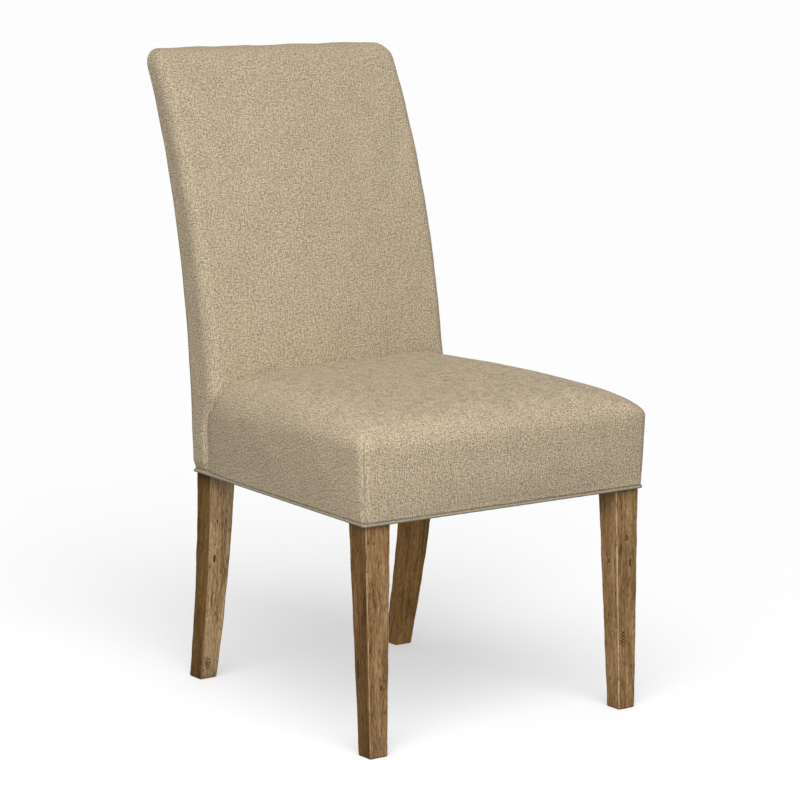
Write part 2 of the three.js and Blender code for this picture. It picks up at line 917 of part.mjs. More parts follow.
function backPoint([x, drop], depth) {
  const height = backTop - drop;
  return new THREE.Vector3(x, rearFace(height) - depth(height, x), height);
}

function crownDepth(height, x) {
  const across = 1 - (x / backWidth(height)) ** 2;
  return backThickness(height) + backCrown * across * tuckFade(height);
}

function backTurnRing(turn) {
  const angle = turn * Math.PI / 2;
  const inset = (height) => backEdge(height, backEdgeTight, backEdgeWide) * (1 - Math.cos(angle));
  const depth = (height, x) => {
    const deep = backEdge(height, backEdgeTight, backEdgeDeep);
    return lerp(backThickness(height), crownDepth(height, x), turn) - deep * (1 - Math.sin(angle));
  };
  return backRingPlan(inset).map((point) => backPoint(point, depth));
}

function backRings(rim) {
  const flat = () => 0;
  const rear = backRingPlan(flat).map((point) => backPoint(point, () => rim));
  const turned = edgeTurnShares.map(backTurnRing);
  const plan = backRingPlan((height) => backEdge(height, backEdgeTight, backEdgeWide));
  const centre = [0, (backTop - backDomeFloor) / 2];
  const inner = backInnerShares.map((share) => shrunk(plan, centre, share)
    .map((point) => backPoint(point, crownDepth)));
  const rings = [rear, ...turned, ...inner, [backPoint(centre, crownDepth)]];
  return rings.map((ring) => [...ring].reverse());
}

// Solids that trim the soft pieces
function below(height) {
  return boxBetween([-trimSpan, -trimSpan, -trimSpan], [trimSpan, trimSpan, height]);
}

function railPassage() {
  return boxBetween(
    [-trimSpan, 0, 0],
    [trimSpan, sideSeam + seamGap, railTop + backCoverGap],
  );
}

function behindSeam() {
  return boxBetween([-trimSpan, sideSeam, 0], [trimSpan, trimSpan, backTop]);
}

// A point behind the back, to which its surface is closed
function behindBack() {
  return new THREE.Vector3(0, rearFace(backTop) + overrun, (backTop + backDomeFloor) / 2);
}

function backVolume(face) {
  return volume(backRings(-panelProud), face, behindBack());
}

function seatTrims(bottom) {
  return [below(bottom), behindSeam(), backVolume(-seamGap)];
}

function seatCover() {
  return subtract(skin(seatRings(), 0, coverThick), ...seatTrims(coverBottom));
}

function seatBatting() {
  return subtract(skin(seatRings(), battingFace, battingBack), ...seatTrims(coverBottom + fit));
}

function seatFoam() {
  const floor = new THREE.Vector3(0, seatLength / 2, 0);
  return subtract(volume(seatRings(), foamFace, floor), ...seatTrims(foamBottom));
}

function insideBackCover() {
  return subtract(skin(backRings(-panelProud), 0, coverThick), below(coverBottom), railPassage());
}

function backBatting() {
  return subtract(
    skin(backRings(battingRim), battingFace, battingBack),
    below(coverBottom + fit),
    railPassage(),
  );
}

// The room that the stiles, back rails and straps take up behind the foam
function frameZone() {
  const levels = shares(4 * postSteps).map((share) => lerp(backDomeFloor, backTop + overrun, share));
  const strapFront = (height) => stileFront(Math.min(height, crestTop)) - strapThick - 3 * fit;
  const front = levels.map((height) => [strapFront(height), height]);
  const rear = [[trimSpan, backTop + overrun], [trimSpan, backDomeFloor]];
  return prismX([...front, ...rear].reverse(), -seatHalf, seatHalf);
}

function backFoam() {
  const padding = volume(backRings(battingRim), foamFace, behindBack());
  return subtract(padding, frameZone(), below(backFoamBottom));
}

// The outside back: a sheet between the side covers that follows the rear face
function outsideBackPanel() {
  const top = backTop - coverThick - panelGap;
  const levels = shares(2 * postSteps).map((share) => lerp(coverBottom, top, share));
  const frontRing = panelOutline(levels, panelThick - panelProud);
  const rearRing = panelOutline(levels, -panelProud);
  const points = [...frontRing, ...rearRing].map(([x, y, z]) => new THREE.Vector3(x, y, z));
  return outward(points, panelFaces(levels.length));
}

function panelHalf(height) {
  const straight = backWidth(height) - coverThick - panelGap;
  const above = height - (backTop - backCornerRadius);
  if (above <= 0) return straight;
  const radius = backCornerRadius - coverThick;
  return straight - radius + Math.sqrt(Math.max(radius ** 2 - above ** 2, 0));
}

function panelOutline(levels, lead) {
  return levels.flatMap((height) => [-1, 1].map((side) => (
    [side * panelHalf(height), rearFace(height) - lead, height]
  )));
}

function panelFaces(count) {
  const faces = [];
  const rear = 2 * count;
  const quad = (a, b, c, d) => faces.push([a, b, c], [a, c, d]);
  for (let i = 0; i + 1 < count; i += 1) {
    const low = 2 * i;
    quad(low, low + 1, low + 3, low + 2);
    quad(rear + low + 1, rear + low, rear + low + 2, rear + low + 3);
    quad(rear + low, low, low + 2, rear + low + 2);
    quad(low + 1, rear + low + 1, rear + low + 3, low + 3);
  }
  quad(rear, rear + 1, 1, 0);
  quad(rear - 2, rear - 1, 2 * rear - 1, 2 * rear - 2);
  return faces;
}

function tackStrip() {
  const top = crestTop - stripDrop;
  const outline = curvedOutline(
    [top - stripHeight, top],
    (height) => stileFront(height) + crestThick() + fit,
    (height) => stileFront(height) + crestThick() + fit + stripThick,
  );
  const half = stileInner(crestTop) - fit;
  return prismX(outline, -half, half);
}

// The welt: a cord round the lower edge with a flat tape stapled under the rails
function weltSide(depth) {
  return seatSide(depth) - seatSwell * (1 - seatRunShare(depth)) + weltProud;
}

function weltPath(inset) {
  const front = seatFront + seatFrontSwell - weltProud + inset;
  const rear = weltRear - inset;
  const turns = shares(weltCornerSteps);
  const corner = (x, y, radius, from) => turns.map((share) => {
    const angle = from + share * Math.PI / 2;
    return [x + radius * Math.cos(angle), y + radius * Math.sin(angle)];
  });
  const low = seatCornerLow - inset;
  const high = weltRadiusRear - Math.min(inset, weltRadius);
  const frontX = weltSide(front) - inset - low;
  const rearX = weltSide(rear) - inset - high;
  return [
    ...corner(-frontX, front + low, low, Math.PI),
    ...corner(frontX, front + low, low, 1.5 * Math.PI),
    ...corner(rearX, rear - high, high, 0),
    ...corner(-rearX, rear - high, high, Math.PI / 2),
  ];
}

function weltRings() {
  const middle = coverEdge + weltLift + weltRadius;
  const path = weltPath(weltRadius);
  const count = path.length;
  return path.map(([x, y], i) => {
    const before = path[(i + count - 1) % count];
    const after = path[(i + 1) % count];
    const along = new THREE.Vector2(after[0] - before[0], after[1] - before[1]).normalize();
    const outside = new THREE.Vector2(along.y, -along.x);
    return shares(weltSides).slice(1).map((share) => {
      const angle = share * 2 * Math.PI;
      const reach = weltRadius * Math.cos(angle);
      return new THREE.Vector3(
        x + outside.x * reach,
        y + outside.y * reach,
        middle + weltRadius * Math.sin(angle),
      );
    });
  });
}

function weltCord() {
  const rings = weltRings();
  const count = rings[0].length;
  const points = rings.flat();
  const faces = rings.flatMap((_, k) => {
    const start = k * count;
    const next = ((k + 1) % rings.length) * count;
    return bandFaces(start, next, count, false);
  });
  return outward(points, faces);
}

function weltTape() {
  const tape = (plan) => prismZ(plan, railBottom - flangeThick, railBottom);
  const whole = tape(weltPath(weltRadius));
  const reach = flangeReach + weltRadius;
  const inside = weltRear - reach;
  const plan = [
    [-weltSide(0) + reach, reach],
    [weltSide(0) - reach, reach],
    [weltSide(inside) - reach, inside],
    [-weltSide(inside) + reach, inside],
  ];
  return subtract(whole, prismZ(plan, railBottom - 2 * flangeThick, railBottom + flangeThick));
}

// Openings in the tape for the four legs
function legSocket(inner, outer, front, rear, side) {
  const plan = [
    [inner - fit, front - fit],
    [outer + fit, front - fit],
    [outer + fit, rear + fit],
    [inner - fit, rear + fit],
  ];
  return prismZ(mirrored(plan, side), railBottom - 2 * flangeThick, railBottom + flangeThick);
}

function legSockets() {
  return [-1, 1].flatMap((side) => [
    legSocket(frontOuter - frontWidth, frontOuter, 0, frontDepth, side),
    legSocket(rearOuter - rearWidth, rearOuter, rearFront, rearFront + rearDepth, side),
  ]);
}

function bottomWelt() {
  return subtract(unite(weltCord(), weltTape()), ...legSockets());
}

// The dust cover: black cloth under the rails, notched round the four legs
function dustCover() {
  const front = flangeReach + weltRadius + fit;
  const rear = rearFront + rearDepth - flangeReach;
  const edge = (depth) => weltSide(depth) - front;
  const half = [
    [frontOuter - frontWidth - seamGap, front],
    [frontOuter - frontWidth - seamGap, frontDepth + seamGap],
    [edge(frontDepth), frontDepth + seamGap],
    [edge(rearFront), rearFront - seamGap],
    [rearOuter - rearWidth - seamGap, rearFront - seamGap],
    [rearOuter - rearWidth - seamGap, rear],
  ];
  const plan = [...half, ...mirrored([...half].reverse(), -1)];
  return prismZ(plan, railBottom - flangeThick, railBottom);
}

// Assembly
const sides = [{ word: 'left', sign: -1 }, { word: 'right', sign: 1 }];

function addTimber(name, geometry) {
  addPiece(name, geometry, frameColour, woodRough);
}

sides.forEach(({ word, sign }) => {
  const frontLines = frontScrewLines(sign);
  const rearLines = rearScrewLines(sign);
  const screws = [...frontLines, ...rearLines];
  const places = ['front_rail', 'front_side', 'rear_rail', 'rear_side'];
  const sideHoles = [screwHole(frontLines[1]), screwHole(rearLines[1])];
  addPiece(`front_leg_${word}`, frontLeg(sign), legColour, woodRough);
  addPiece(`rear_post_${word}`, rearPost(sign), legColour, woodRough);
  addTimber(`side_rail_${word}`, subtract(sideRail(sign), ...sideHoles));
  addTimber(`corner_block_front_${word}`, cornerBlock(frontBlockCorner(), frontLines, sign));
  addTimber(`corner_block_rear_${word}`, cornerBlock(rearBlockCorner(), rearLines, sign));
  screws.forEach((line, i) => {
    const screw = screwAt(line.head, line.direction, line.length, 0);
    addPiece(`block_screw_${places[i]}_${word}`, screw, steelColour, steelRough, 1);
  });
});

const frontHoles = sides.map(({ sign }) => screwHole(frontScrewLines(sign)[0]));
const rearHoles = sides.map(({ sign }) => screwHole(rearScrewLines(sign)[0]));
const crestTenons = [crestBottom, crestTop - crestCornerRadius];
addTimber('front_rail', subtract(frontRail(), ...frontHoles));
addTimber('rear_rail', subtract(rearRail(), ...rearHoles));
addTimber('lower_back_rail', backRail(lowerRail, lowerRailFront, lowerRailThick, lowerRail));
addTimber('middle_back_rail', backRail(middleRail, stileFront, middleRailThick, middleRail));
addTimber('crest_rail', backRail([crestBottom, crestTop], stileFront, crestThick(), crestTenons));
longStraps.forEach((across, i) => {
  addPiece(`seat_strap_long_${i + 1}`, longStrap(across, i), webColour, clothRough);
});
crossStraps.forEach((depth, i) => {
  addPiece(`seat_strap_cross_${i + 1}`, crossStrap(depth, i), webColour, clothRough);
});
backStraps.forEach((height, i) => {
  addPiece(`back_strap_${i + 1}`, backStrap(height), webColour, clothRough);
});
addPiece('seat_foam', seatFoam(), foamColour, clothRough);
addPiece('seat_batting', seatBatting(), battingColour, clothRough);
addPiece('seat_cover', seatCover(), clothColour, clothRough);
addPiece('back_foam', backFoam(), foamColour, clothRough);
addPiece('back_batting', backBatting(), battingColour, clothRough);
addPiece('inside_back_cover', insideBackCover(), clothColour, clothRough);
addPiece('outside_back_panel', outsideBackPanel(), clothColour, clothRough);
addPiece('back_tack_strip', tackStrip(), cardColour, clothRough);
addPiece('bottom_welt', bottomWelt(), weltColour, clothRough);
addPiece('dust_cover', dustCover(), dustColour, clothRough);

const box = new THREE.Box3().setFromObject(chair);
chair.position.set(-(box.min.x + box.max.x) / 2, -(box.min.y + box.max.y) / 2, -box.min.z);

const group = new THREE.Group();
group.name = 'chair_frame';
group.add(chair);

export default group;
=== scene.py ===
import math

import bmesh
import bpy
import numpy as np
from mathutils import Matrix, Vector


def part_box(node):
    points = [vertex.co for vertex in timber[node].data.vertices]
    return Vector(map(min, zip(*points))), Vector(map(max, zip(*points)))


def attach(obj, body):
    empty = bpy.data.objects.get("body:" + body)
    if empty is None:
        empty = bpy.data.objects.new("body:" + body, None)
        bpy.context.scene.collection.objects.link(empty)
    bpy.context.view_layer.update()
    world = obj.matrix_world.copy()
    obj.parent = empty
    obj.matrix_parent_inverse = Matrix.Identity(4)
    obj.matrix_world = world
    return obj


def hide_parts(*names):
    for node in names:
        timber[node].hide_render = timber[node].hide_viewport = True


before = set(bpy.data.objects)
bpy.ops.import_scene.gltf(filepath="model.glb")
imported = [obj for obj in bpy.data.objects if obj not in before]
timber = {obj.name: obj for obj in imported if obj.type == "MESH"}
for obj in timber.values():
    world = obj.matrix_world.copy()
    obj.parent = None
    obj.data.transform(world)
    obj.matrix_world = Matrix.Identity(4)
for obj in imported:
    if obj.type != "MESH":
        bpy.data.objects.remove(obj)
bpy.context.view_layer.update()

# The camera stands to the chair's front left, a little above the seat, where the photograph was
# taken from. All depths below are counted backwards from the front faces of the front legs.
LEG_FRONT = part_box("front_leg_left")[0][1]
camera = bpy.data.objects.new("camera", bpy.data.cameras.new("camera"))
camera.location = (-2.48629, LEG_FRONT - 3.21929, 1.14991)
camera.rotation_euler = (math.radians(90 - 9.2764), 0, math.radians(-35.587))
camera.data.lens = 132.088
camera.data.sensor_width = 36
camera.data.clip_end = 400
camera.data.shift_x = -0.00195
camera.data.shift_y = -0.0032
bpy.context.scene.collection.objects.link(camera)
bpy.context.scene.camera = camera

# A plain white studio floor, wide enough to fill the view, with a faint glow of its own that is
# kept off the chair, so that its sides stay dark. A broad key light stands high at the front
# left, a weak round panel low beside it, and the surround is evenly dim.


class Wire:
    """A shader value. Arithmetic on it adds Math nodes; node() adds any other node."""

    def __init__(self, tree, socket=None):
        self.tree = tree
        self.socket = socket

    def node(self, kind, settings=None, inputs=None, stops=None, output=0):
        """Adds a node: settings and colour stops first, then the values or links of its sockets."""
        made = self.tree.nodes.new(kind)
        for key, value in (settings or {}).items():
            setattr(made, key, value)
        if stops:
            ramp = made.color_ramp
            while len(ramp.elements) < len(stops):
                ramp.elements.new(0.5)
            for element, (place, colour) in zip(ramp.elements, stops):
                element.position = place
                element.color = (*colour, 1)
        for key, value in (inputs or {}).items():
            socket = made.inputs[key]
            if isinstance(value, Wire):
                self.tree.links.new(value.socket, socket)
            else:
                socket.default_value = value
        return Wire(self.tree, made.outputs[output])

    def math(self, operation, *values):
        """A Math node of this value and the others."""
        inputs = dict(enumerate((self, *values)))
        return self.node("ShaderNodeMath", {"operation": operation}, inputs)

    def flipped(self, operation, value):
        """The same with the other value first."""
        return self.node("ShaderNodeMath", {"operation": operation}, {0: value, 1: self})

    def __add__(self, other):
        return self.math("ADD", other)

    def __sub__(self, other):
        return self.math("SUBTRACT", other)

    def __mul__(self, other):
        return self.math("MULTIPLY", other)

    def __truediv__(self, other):
        return self.math("DIVIDE", other)

    def __pow__(self, other):
        return self.math("POWER", other)

    def __radd__(self, other):
        return self.math("ADD", other)

    def __rmul__(self, other):
        return self.math("MULTIPLY", other)

    def __rsub__(self, other):
        return self.flipped("SUBTRACT", other)

    def __rtruediv__(self, other):
        return self.flipped("DIVIDE", other)

    def clamped(self):
        """Held between 0 and 1."""
        return self.math("MINIMUM", 1).math("MAXIMUM", 0)

    def ramp(self, low, high):
        """0 below low, 1 above high, smooth between."""
        inputs = {"Value": self, "From Min": low, "From Max": high, "To Min": 0, "To Max": 1}
        return self.node("ShaderNodeMapRange", {"interpolation_type": "SMOOTHSTEP"}, inputs)

    def parts(self):
        """The three numbers of a vector."""
        made = self.node("ShaderNodeSeparateXYZ", None, {0: self})
        outputs = made.socket.node.outputs
        return [Wire(self.tree, outputs[i]) for i in range(3)]

    def vector(self, x, y, z):
        """A vector of three numbers."""
        return self.node("ShaderNodeCombineXYZ", None, {0: x, 1: y, 2: z})

    def noise(self, place, scale=1, detail=2, roughness=0.5):
        """Smooth noise of 0 to 1 at a place."""
        inputs = {"Vector": place, "Scale": scale, "Detail": detail, "Roughness": roughness}
        return self.node("ShaderNodeTexNoise", {"noise_dimensions": "3D"}, inputs)

    def mix(self, share, first, second):
        """first where share is 0, second where it is 1, both colours."""
        first = first if isinstance(first, Wire) else (*first, 1)
        second = second if isinstance(second, Wire) else (*second, 1)
        settings = {"data_type": "RGBA"}
        return self.node("ShaderNodeMix", settings, {0: share, 6: first, 7: second}, output=2)

    def blend(self, share, first, second):
        """The same for two numbers."""
        return first + (second - first) * share

    def finish(self, colour, roughness, height=None, depth=0.0003, **constants):
        """Links colour, roughness and a bump of this depth in metres to the surface shader."""
        surface = self.tree.nodes["Principled BSDF"]
        for name, value in constants.items():
            surface.inputs[name.replace("_", " ")].default_value = value
        self.tree.links.new(colour.socket, surface.inputs["Base Color"])
        self.tree.links.new(roughness.socket, surface.inputs["Roughness"])
        if height is not None:
            bump = self.node("ShaderNodeBump", None, {"Height": height, "Distance": depth})
            self.tree.links.new(bump.socket, surface.inputs["Normal"])


def new_material(name):
    """An empty material and the wire that starts its nodes."""
    material = bpy.data.materials.new(name)
    material.use_nodes = True
    return material, Wire(material.node_tree)


def coordinates(wire):
    """Object coordinates in millimetres."""
    place = wire.node("ShaderNodeTexCoord", output=3)
    return place.node("ShaderNodeVectorMath", {"operation": "SCALE"}, {0: place, "Scale": 1000})


def grid_mesh(name, grid, uv=None, wrap=False, attributes=None, chart=None):
    """A mesh through a (rows, columns, 3) array of places in millimetres.

    Each face joins a point, the next in its row, and the same two in the next row. With wrap
    the last column joins the first. Depths are counted from the front legs' faces. uv holds one
    or more cloth maps, and chart says which of them the faces after each column take.
    """
    rows, columns = grid.shape[:2]
    places = grid.reshape(-1, 3) * 0.001
    places[:, 1] += LEG_FRONT
    index = np.arange(rows * columns).reshape(rows, columns)
    after = np.roll(index, -1, axis=1) if wrap else index[:, 1:]
    here = index if wrap else index[:, :-1]
    faces = np.stack([here[:-1], after[:-1], after[1:], here[1:]], axis=-1).reshape(-1, 4)
    mesh = bpy.data.meshes.new(name)
    mesh.vertices.add(len(places))
    mesh.vertices.foreach_set("co", places.ravel())
    mesh.loops.add(faces.size)
    mesh.loops.foreach_set("vertex_index", faces.ravel())
    mesh.polygons.add(len(faces))
    mesh.polygons.foreach_set("loop_start", np.arange(0, faces.size, 4))
    mesh.update(calc_edges=True)
    mesh.validate()
    mesh.shade_smooth()
    if uv is not None:
        layer = mesh.uv_layers.new(name="cloth")
        maps = uv.reshape(-1, rows * columns, 2) * 0.001
        chosen = np.zeros(here.shape[1], int) if chart is None else chart
        chosen = np.repeat(np.tile(chosen, rows - 1), 4)
        layer.uv.foreach_set("vector", maps[chosen, faces.ravel()].ravel())
    for key, values in (attributes or {}).items():
        kind = "FLOAT_VECTOR" if values.ndim == 3 else "FLOAT"
        field = "vector" if values.ndim == 3 else "value"
        mesh.attributes.new(key, kind, "POINT").data.foreach_set(field, values.ravel())
    piece = bpy.data.objects.new(name, mesh)
    bpy.context.scene.collection.objects.link(piece)
    return piece


def capped(piece):
    """Closes every open edge loop of a piece with one face and turns all faces outwards."""
    shape = bmesh.new()
    shape.from_mesh(piece.data)
    open_edges = [edge for edge in shape.edges if edge.is_boundary]
    bmesh.ops.holes_fill(shape, edges=open_edges, sides=0)
    bmesh.ops.recalc_face_normals(shape, faces=shape.faces)
    shape.to_mesh(piece.data)
    shape.free()
    return piece


FLOOR_REACH = 120000.0
FLOOR_TOP = -0.4
floor_x, floor_y = np.meshgrid([-FLOOR_REACH, FLOOR_REACH], [-FLOOR_REACH, FLOOR_REACH])
floor = grid_mesh("floor", np.stack([floor_x, floor_y, 0 * floor_x + FLOOR_TOP], axis=-1))
floor_material, wire = new_material("studio_floor")
floor_place = coordinates(wire)
floor_tone = wire.noise(floor_place, 0.004, 2)
wire.finish(
    wire.mix(floor_tone, (0.545, 0.545, 0.545), (0.555, 0.555, 0.555)),
    floor_tone * 0.1 + 0.75,
    Specular_IOR_Level=0.1,
    Emission_Color=(1, 1, 1, 1),
    Emission_Strength=0.48,
)
floor.data.materials.append(floor_material)
floor.visible_diffuse = False
floor.visible_glossy = False

key = bpy.data.objects.new("key_light", bpy.data.lights.new("key_light", "SUN"))
key.data.energy = 2.4
key.data.angle = math.radians(50)
key.rotation_euler = (math.radians(40), 0, math.radians(-30))
bpy.context.scene.collection.objects.link(key)
fill = bpy.data.objects.new("fill_light", bpy.data.lights.new("fill_light", "AREA"))
fill.data.shape = "DISK"
fill.data.size = 1.0
fill.data.energy = 4.3
fill.location = (-0.836, LEG_FRONT - 0.582, 0.658)
fill.rotation_euler = (math.radians(80), 0, math.radians(-45))
fill.visible_camera = False
bpy.context.scene.collection.objects.link(fill)
world = bpy.data.worlds.new("studio")
world.use_nodes = True
bpy.context.scene.world = world
surround = Wire(world.node_tree)
seen = surround.node("ShaderNodeLightPath")
backdrop = surround.mix(seen, (0.34, 0.34, 0.34), (0.98, 0.98, 0.98))
world.node_tree.links.new(backdrop.socket, world.node_tree.nodes["Background"].inputs["Color"])
bpy.context.scene.view_settings.view_transform = "Standard"

# The two front legs: solid wood, sawn square and tapered, weathered to a medium brown. Their
# arrises are worn round and pale, their faces show open grain, cracks and small dark knots. They
# run up inside the cover to the rails' top, where the rails are tenoned into them.


def waves(seed, *coordinates_and_lengths):
    """A smooth irregular field of about -1 to 1.

    It is a scaled sum of nine sines; each adds up every coordinate over its own wavelength,
    times a factor between 0.6 and 1.9, and a phase, both drawn from a fixed seed.
    """
    source = np.random.default_rng(seed)
    total = 0
    for _ in range(9):
        phase = source.uniform(0, 2 * np.pi)
        for values, length in coordinates_and_lengths:
            turn = source.uniform(0.6, 1.9) * source.choice([-1, 1])
            phase = phase + 2 * np.pi * values / length * turn
        total = total + np.sin(phase)
    return total / 3.2


def smooth(share):
    """0 below 0, 1 above 1, and three times the square less twice the cube between."""
    held = np.clip(share, 0, 1)
    return held * held * (3 - 2 * held)


def lerp(start, end, share):
    """The straight way from start to end, at a share of it."""
    return start + (end - start) * share


COVER_EDGE = 330
RAIL_TOP = 403
LEG_ARC = 5
LEG_FACE = 9
LEG_WEAR = 1.3
FOOT_EASE = 1.2
FRONT_FOOT_WIDTH, FRONT_FOOT_DEPTH = 29.6, 28.4
FRONT_TOP_WIDTH, FRONT_TOP_DEPTH = 41.6, 41
GRAIN_APART = 400
PLAIN = (1, 1, 1)


def square_timber(name, heights, inner, outer, front, rear, side, seed, wear, finish):
    """A timber of rectangular section with rounded arrises, one ring of points per height.

    Round the ring, a point is the section's corner centre, or a place between two of them, plus
    the arris radius along the outward direction there. The radius and the faces vary by waves.
    Each of the outer, rear, inner and front faces has its own colour factor, four colours in all,
    partly stain and partly painted light that makes whole faces lighter or darker, each weighted
    by the squared part of the outward direction that points its way. The wood is darker towards
    the cover, a painted shadow, and towards the foot, by shares that fall off exponentially.
    """
    arris, painted_shade_at_cover, at_foot, stain_and_painted_light = finish
    corner_signs = np.array([[1, -1], [1, 1], [-1, 1], [-1, -1]], float)
    arcs, faces = [], []
    for k, sign in enumerate(corner_signs):
        after = corner_signs[(k + 1) % 4]
        turn = np.linspace(-np.pi / 2 + k * np.pi / 2, k * np.pi / 2, LEG_ARC)
        normal = np.stack([np.cos(turn), np.sin(turn)], axis=-1)
        arcs.append(np.hstack([np.repeat(sign[None], LEG_ARC, 0), normal]))
        share = (0.5 - 0.5 * np.cos(np.linspace(0, np.pi, LEG_FACE + 2)))[1:-1, None]
        along = lerp(sign, after, share)
        faces.append(np.hstack([along, np.repeat(normal[-1:], LEG_FACE, 0)]))
    ring = np.vstack([part for pair in zip(arcs, faces) for part in pair])
    at_arris = np.concatenate([
        np.concatenate([np.ones(LEG_ARC), np.zeros(LEG_FACE)]) for _ in range(4)
    ])
    z = heights[:, None]
    middle_x = ((inner + outer) / 2)[:, None]
    middle_y = ((front + rear) / 2)[:, None]
    half_x = ((outer - inner) / 2)[:, None]
    half_y = ((rear - front) / 2)[:, None]
    corner = np.floor(np.arange(len(ring)) / (LEG_ARC + LEG_FACE))[None, :]
    radius = LEG_WEAR + wear * 0.5 * waves(seed, (z, 70), (corner, 1.3))
    radius = radius + wear * 0.45 * np.maximum(waves(seed + 1, (z, 17), (corner, 0.9)), 0)
    face = wear * 0.25 * waves(seed + 2, (z, 90), (ring[None, :, 0], 2.5), (ring[None, :, 1], 2.5))
    x = middle_x + ring[:, 0] * (half_x - radius) + ring[:, 2] * (radius + face)
    y = middle_y + ring[:, 1] * (half_y - radius) + ring[:, 3] * (radius + face)
    grid = np.stack([side * x, y, np.broadcast_to(z, x.shape)], axis=-1)
    across = np.hypot(
        (1 - abs(ring[:, 0])) * half_x + 0 * z, (1 - abs(ring[:, 1])) * half_y + 0 * z,
    )
    edge = np.exp(-((across / 1.0) ** 2)) * np.where(at_arris, 1, 0.75) * arris
    grain_x, grain_y = side * (x - middle_x) + GRAIN_APART * seed, y - middle_y
    grain = np.stack([grain_x, grain_y, np.broadcast_to(z, x.shape)], axis=-1) * 0.001
    facing = np.stack([ring[:, 2], ring[:, 3], -ring[:, 2], -ring[:, 3]], axis=-1)
    # Painted shadow darkens the wood just under the cover's edge; the wood is also darker towards
    # the foot. The face factors are partly stain and partly painted light.
    ends = painted_shade_at_cover * np.exp(-abs(COVER_EDGE - z) / 14) + at_foot * np.exp(-z / 25)
    face_stain_and_light = (1 - ends)[..., None] * (np.maximum(facing, 0) ** 2 @ np.array(stain_and_painted_light))
    attributes = {"edge": edge, "grain": grain, "stain_and_painted_light": face_stain_and_light}
    return capped(grid_mesh(name, grid, wrap=True, attributes=attributes))


def wood_material(name, pale, middle, dark, worn_tone, knots, scrapes):
    """Weathered wood of stretched fibres, with cracks, open pores, knots and scraped places.

    A knot bends the fibres round it and is a dark oval line with a dim inside. A scraped place
    is an oval of short slanting strokes. Both are placed and sized in millimetres. The arrises
    are worn pale between dim margins, and the colour is multiplied by an attribute of stain and
    painted light: face factors of stain and painted light, and painted shadow under the cover.
    """
    material, start = new_material(name)
    grain = start.node("ShaderNodeAttribute", {"attribute_name": "grain"}, output=1)
    grain = grain.node("ShaderNodeVectorMath", {"operation": "SCALE"}, {0: grain, "Scale": 1000})
    edge = start.node("ShaderNodeAttribute", {"attribute_name": "edge"}, output=2)
    stain_and_painted_light = start.node("ShaderNodeAttribute", {"attribute_name": "stain_and_painted_light"}, output=1)
    x, y, z = grain.parts()

    def oval(centre, across, along):
        away_x, away_y, away_z = x - centre[0], y - centre[1], z - centre[2]
        return (away_x ** 2 + away_y ** 2) / across ** 2 + away_z ** 2 / along ** 2

    bent, marks = 0, 0
    for centre, across, along in knots:
        away = oval(centre, across, along)
        bent = (away * -0.35).math("EXPONENT") * 3.5 + bent
        line = 1 - (away - 0.75).math("ABSOLUTE").ramp(0.1, 0.65)
        marks = line * 0.95 + (1 - away.ramp(0.3, 0.9)) * 0.4 + marks
    for centre, across, along in scrapes:
        inside = 1 - oval(centre, across, along).ramp(0.5, 1.0)
        slant = (z * 1.3 + (x + y) * 1.2).math("SINE").ramp(0.1, 0.6)
        marks = inside * slant * 1.1 + marks
    wander = start.noise(grain.vector(x * 0.03, y * 0.03, z * 0.012), 1, 2) - 0.5
    fx, fy = x + wander * 9 + bent, y + wander * 7 + bent
    fibre = start.noise(grain.vector(fx * 0.30, fy * 0.30, z * 0.012), 1, 4, 0.6)
    fine = start.noise(grain.vector(fx * 0.9, fy * 0.9, z * 0.09), 1, 3, 0.6)
    patch = start.noise(grain.vector(fx * 0.05, fy * 0.05, z * 0.008), 1, 3, 0.5)
    pores = start.noise(grain.vector(fx * 0.75, fy * 0.75, z * 0.10), 1, 2, 0.5).ramp(0.60, 0.70)
    pores = pores * start.noise(grain.vector(x * 0.06, y * 0.06, z * 0.03), 1, 2).ramp(0.36, 0.56)
    crack_field = start.noise(grain.vector(fx * 0.33, fy * 0.33, z * 0.009), 1, 2, 0.4)
    crack = 1 - (crack_field - 0.5).math("ABSOLUTE").ramp(0.0, 0.014)
    crack = crack * patch.ramp(0.46, 0.58)
    tone = (fibre - 0.5) * 0.8 + (fine - 0.5) * 0.9 + (patch - 0.5) * 0.7 + 0.5
    base = start.node(
        "ShaderNodeValToRGB", None, {0: tone}, [(0.25, dark), (0.52, middle), (0.80, pale)],
    )
    margin = edge.ramp(0.0, 0.5) * (1 - edge.ramp(0.45, 0.8)) * 0.3
    base = start.mix(margin, base, tuple(0.7 * c for c in dark))
    bare = start.noise(grain.vector(x * 0.05, y * 0.05, z * 0.03), 1, 3).ramp(0.30, 0.58)
    colour = start.mix(edge.ramp(0.45, 0.95) * bare * 0.8, base, worn_tone)
    depth = (crack * 0.7 + pores * 0.9 + marks * 0.95).clamped()
    colour = start.mix(depth, colour, tuple(0.35 * c for c in dark))
    # Multiplies in stain and painted light: whole faces lighter or darker, and painted shadow under
    # the cover.
    colour = colour.node("ShaderNodeVectorMath", {"operation": "MULTIPLY"}, {0: colour, 1: stain_and_painted_light})
    height = fibre * 0.5 + fine * 0.3 - pores * 0.4 - crack * 0.8 - marks * 0.6
    start.finish(colour, fibre * 0.2 + 0.6, height, 0.0006, Specular_IOR_Level=0.15)
    return material


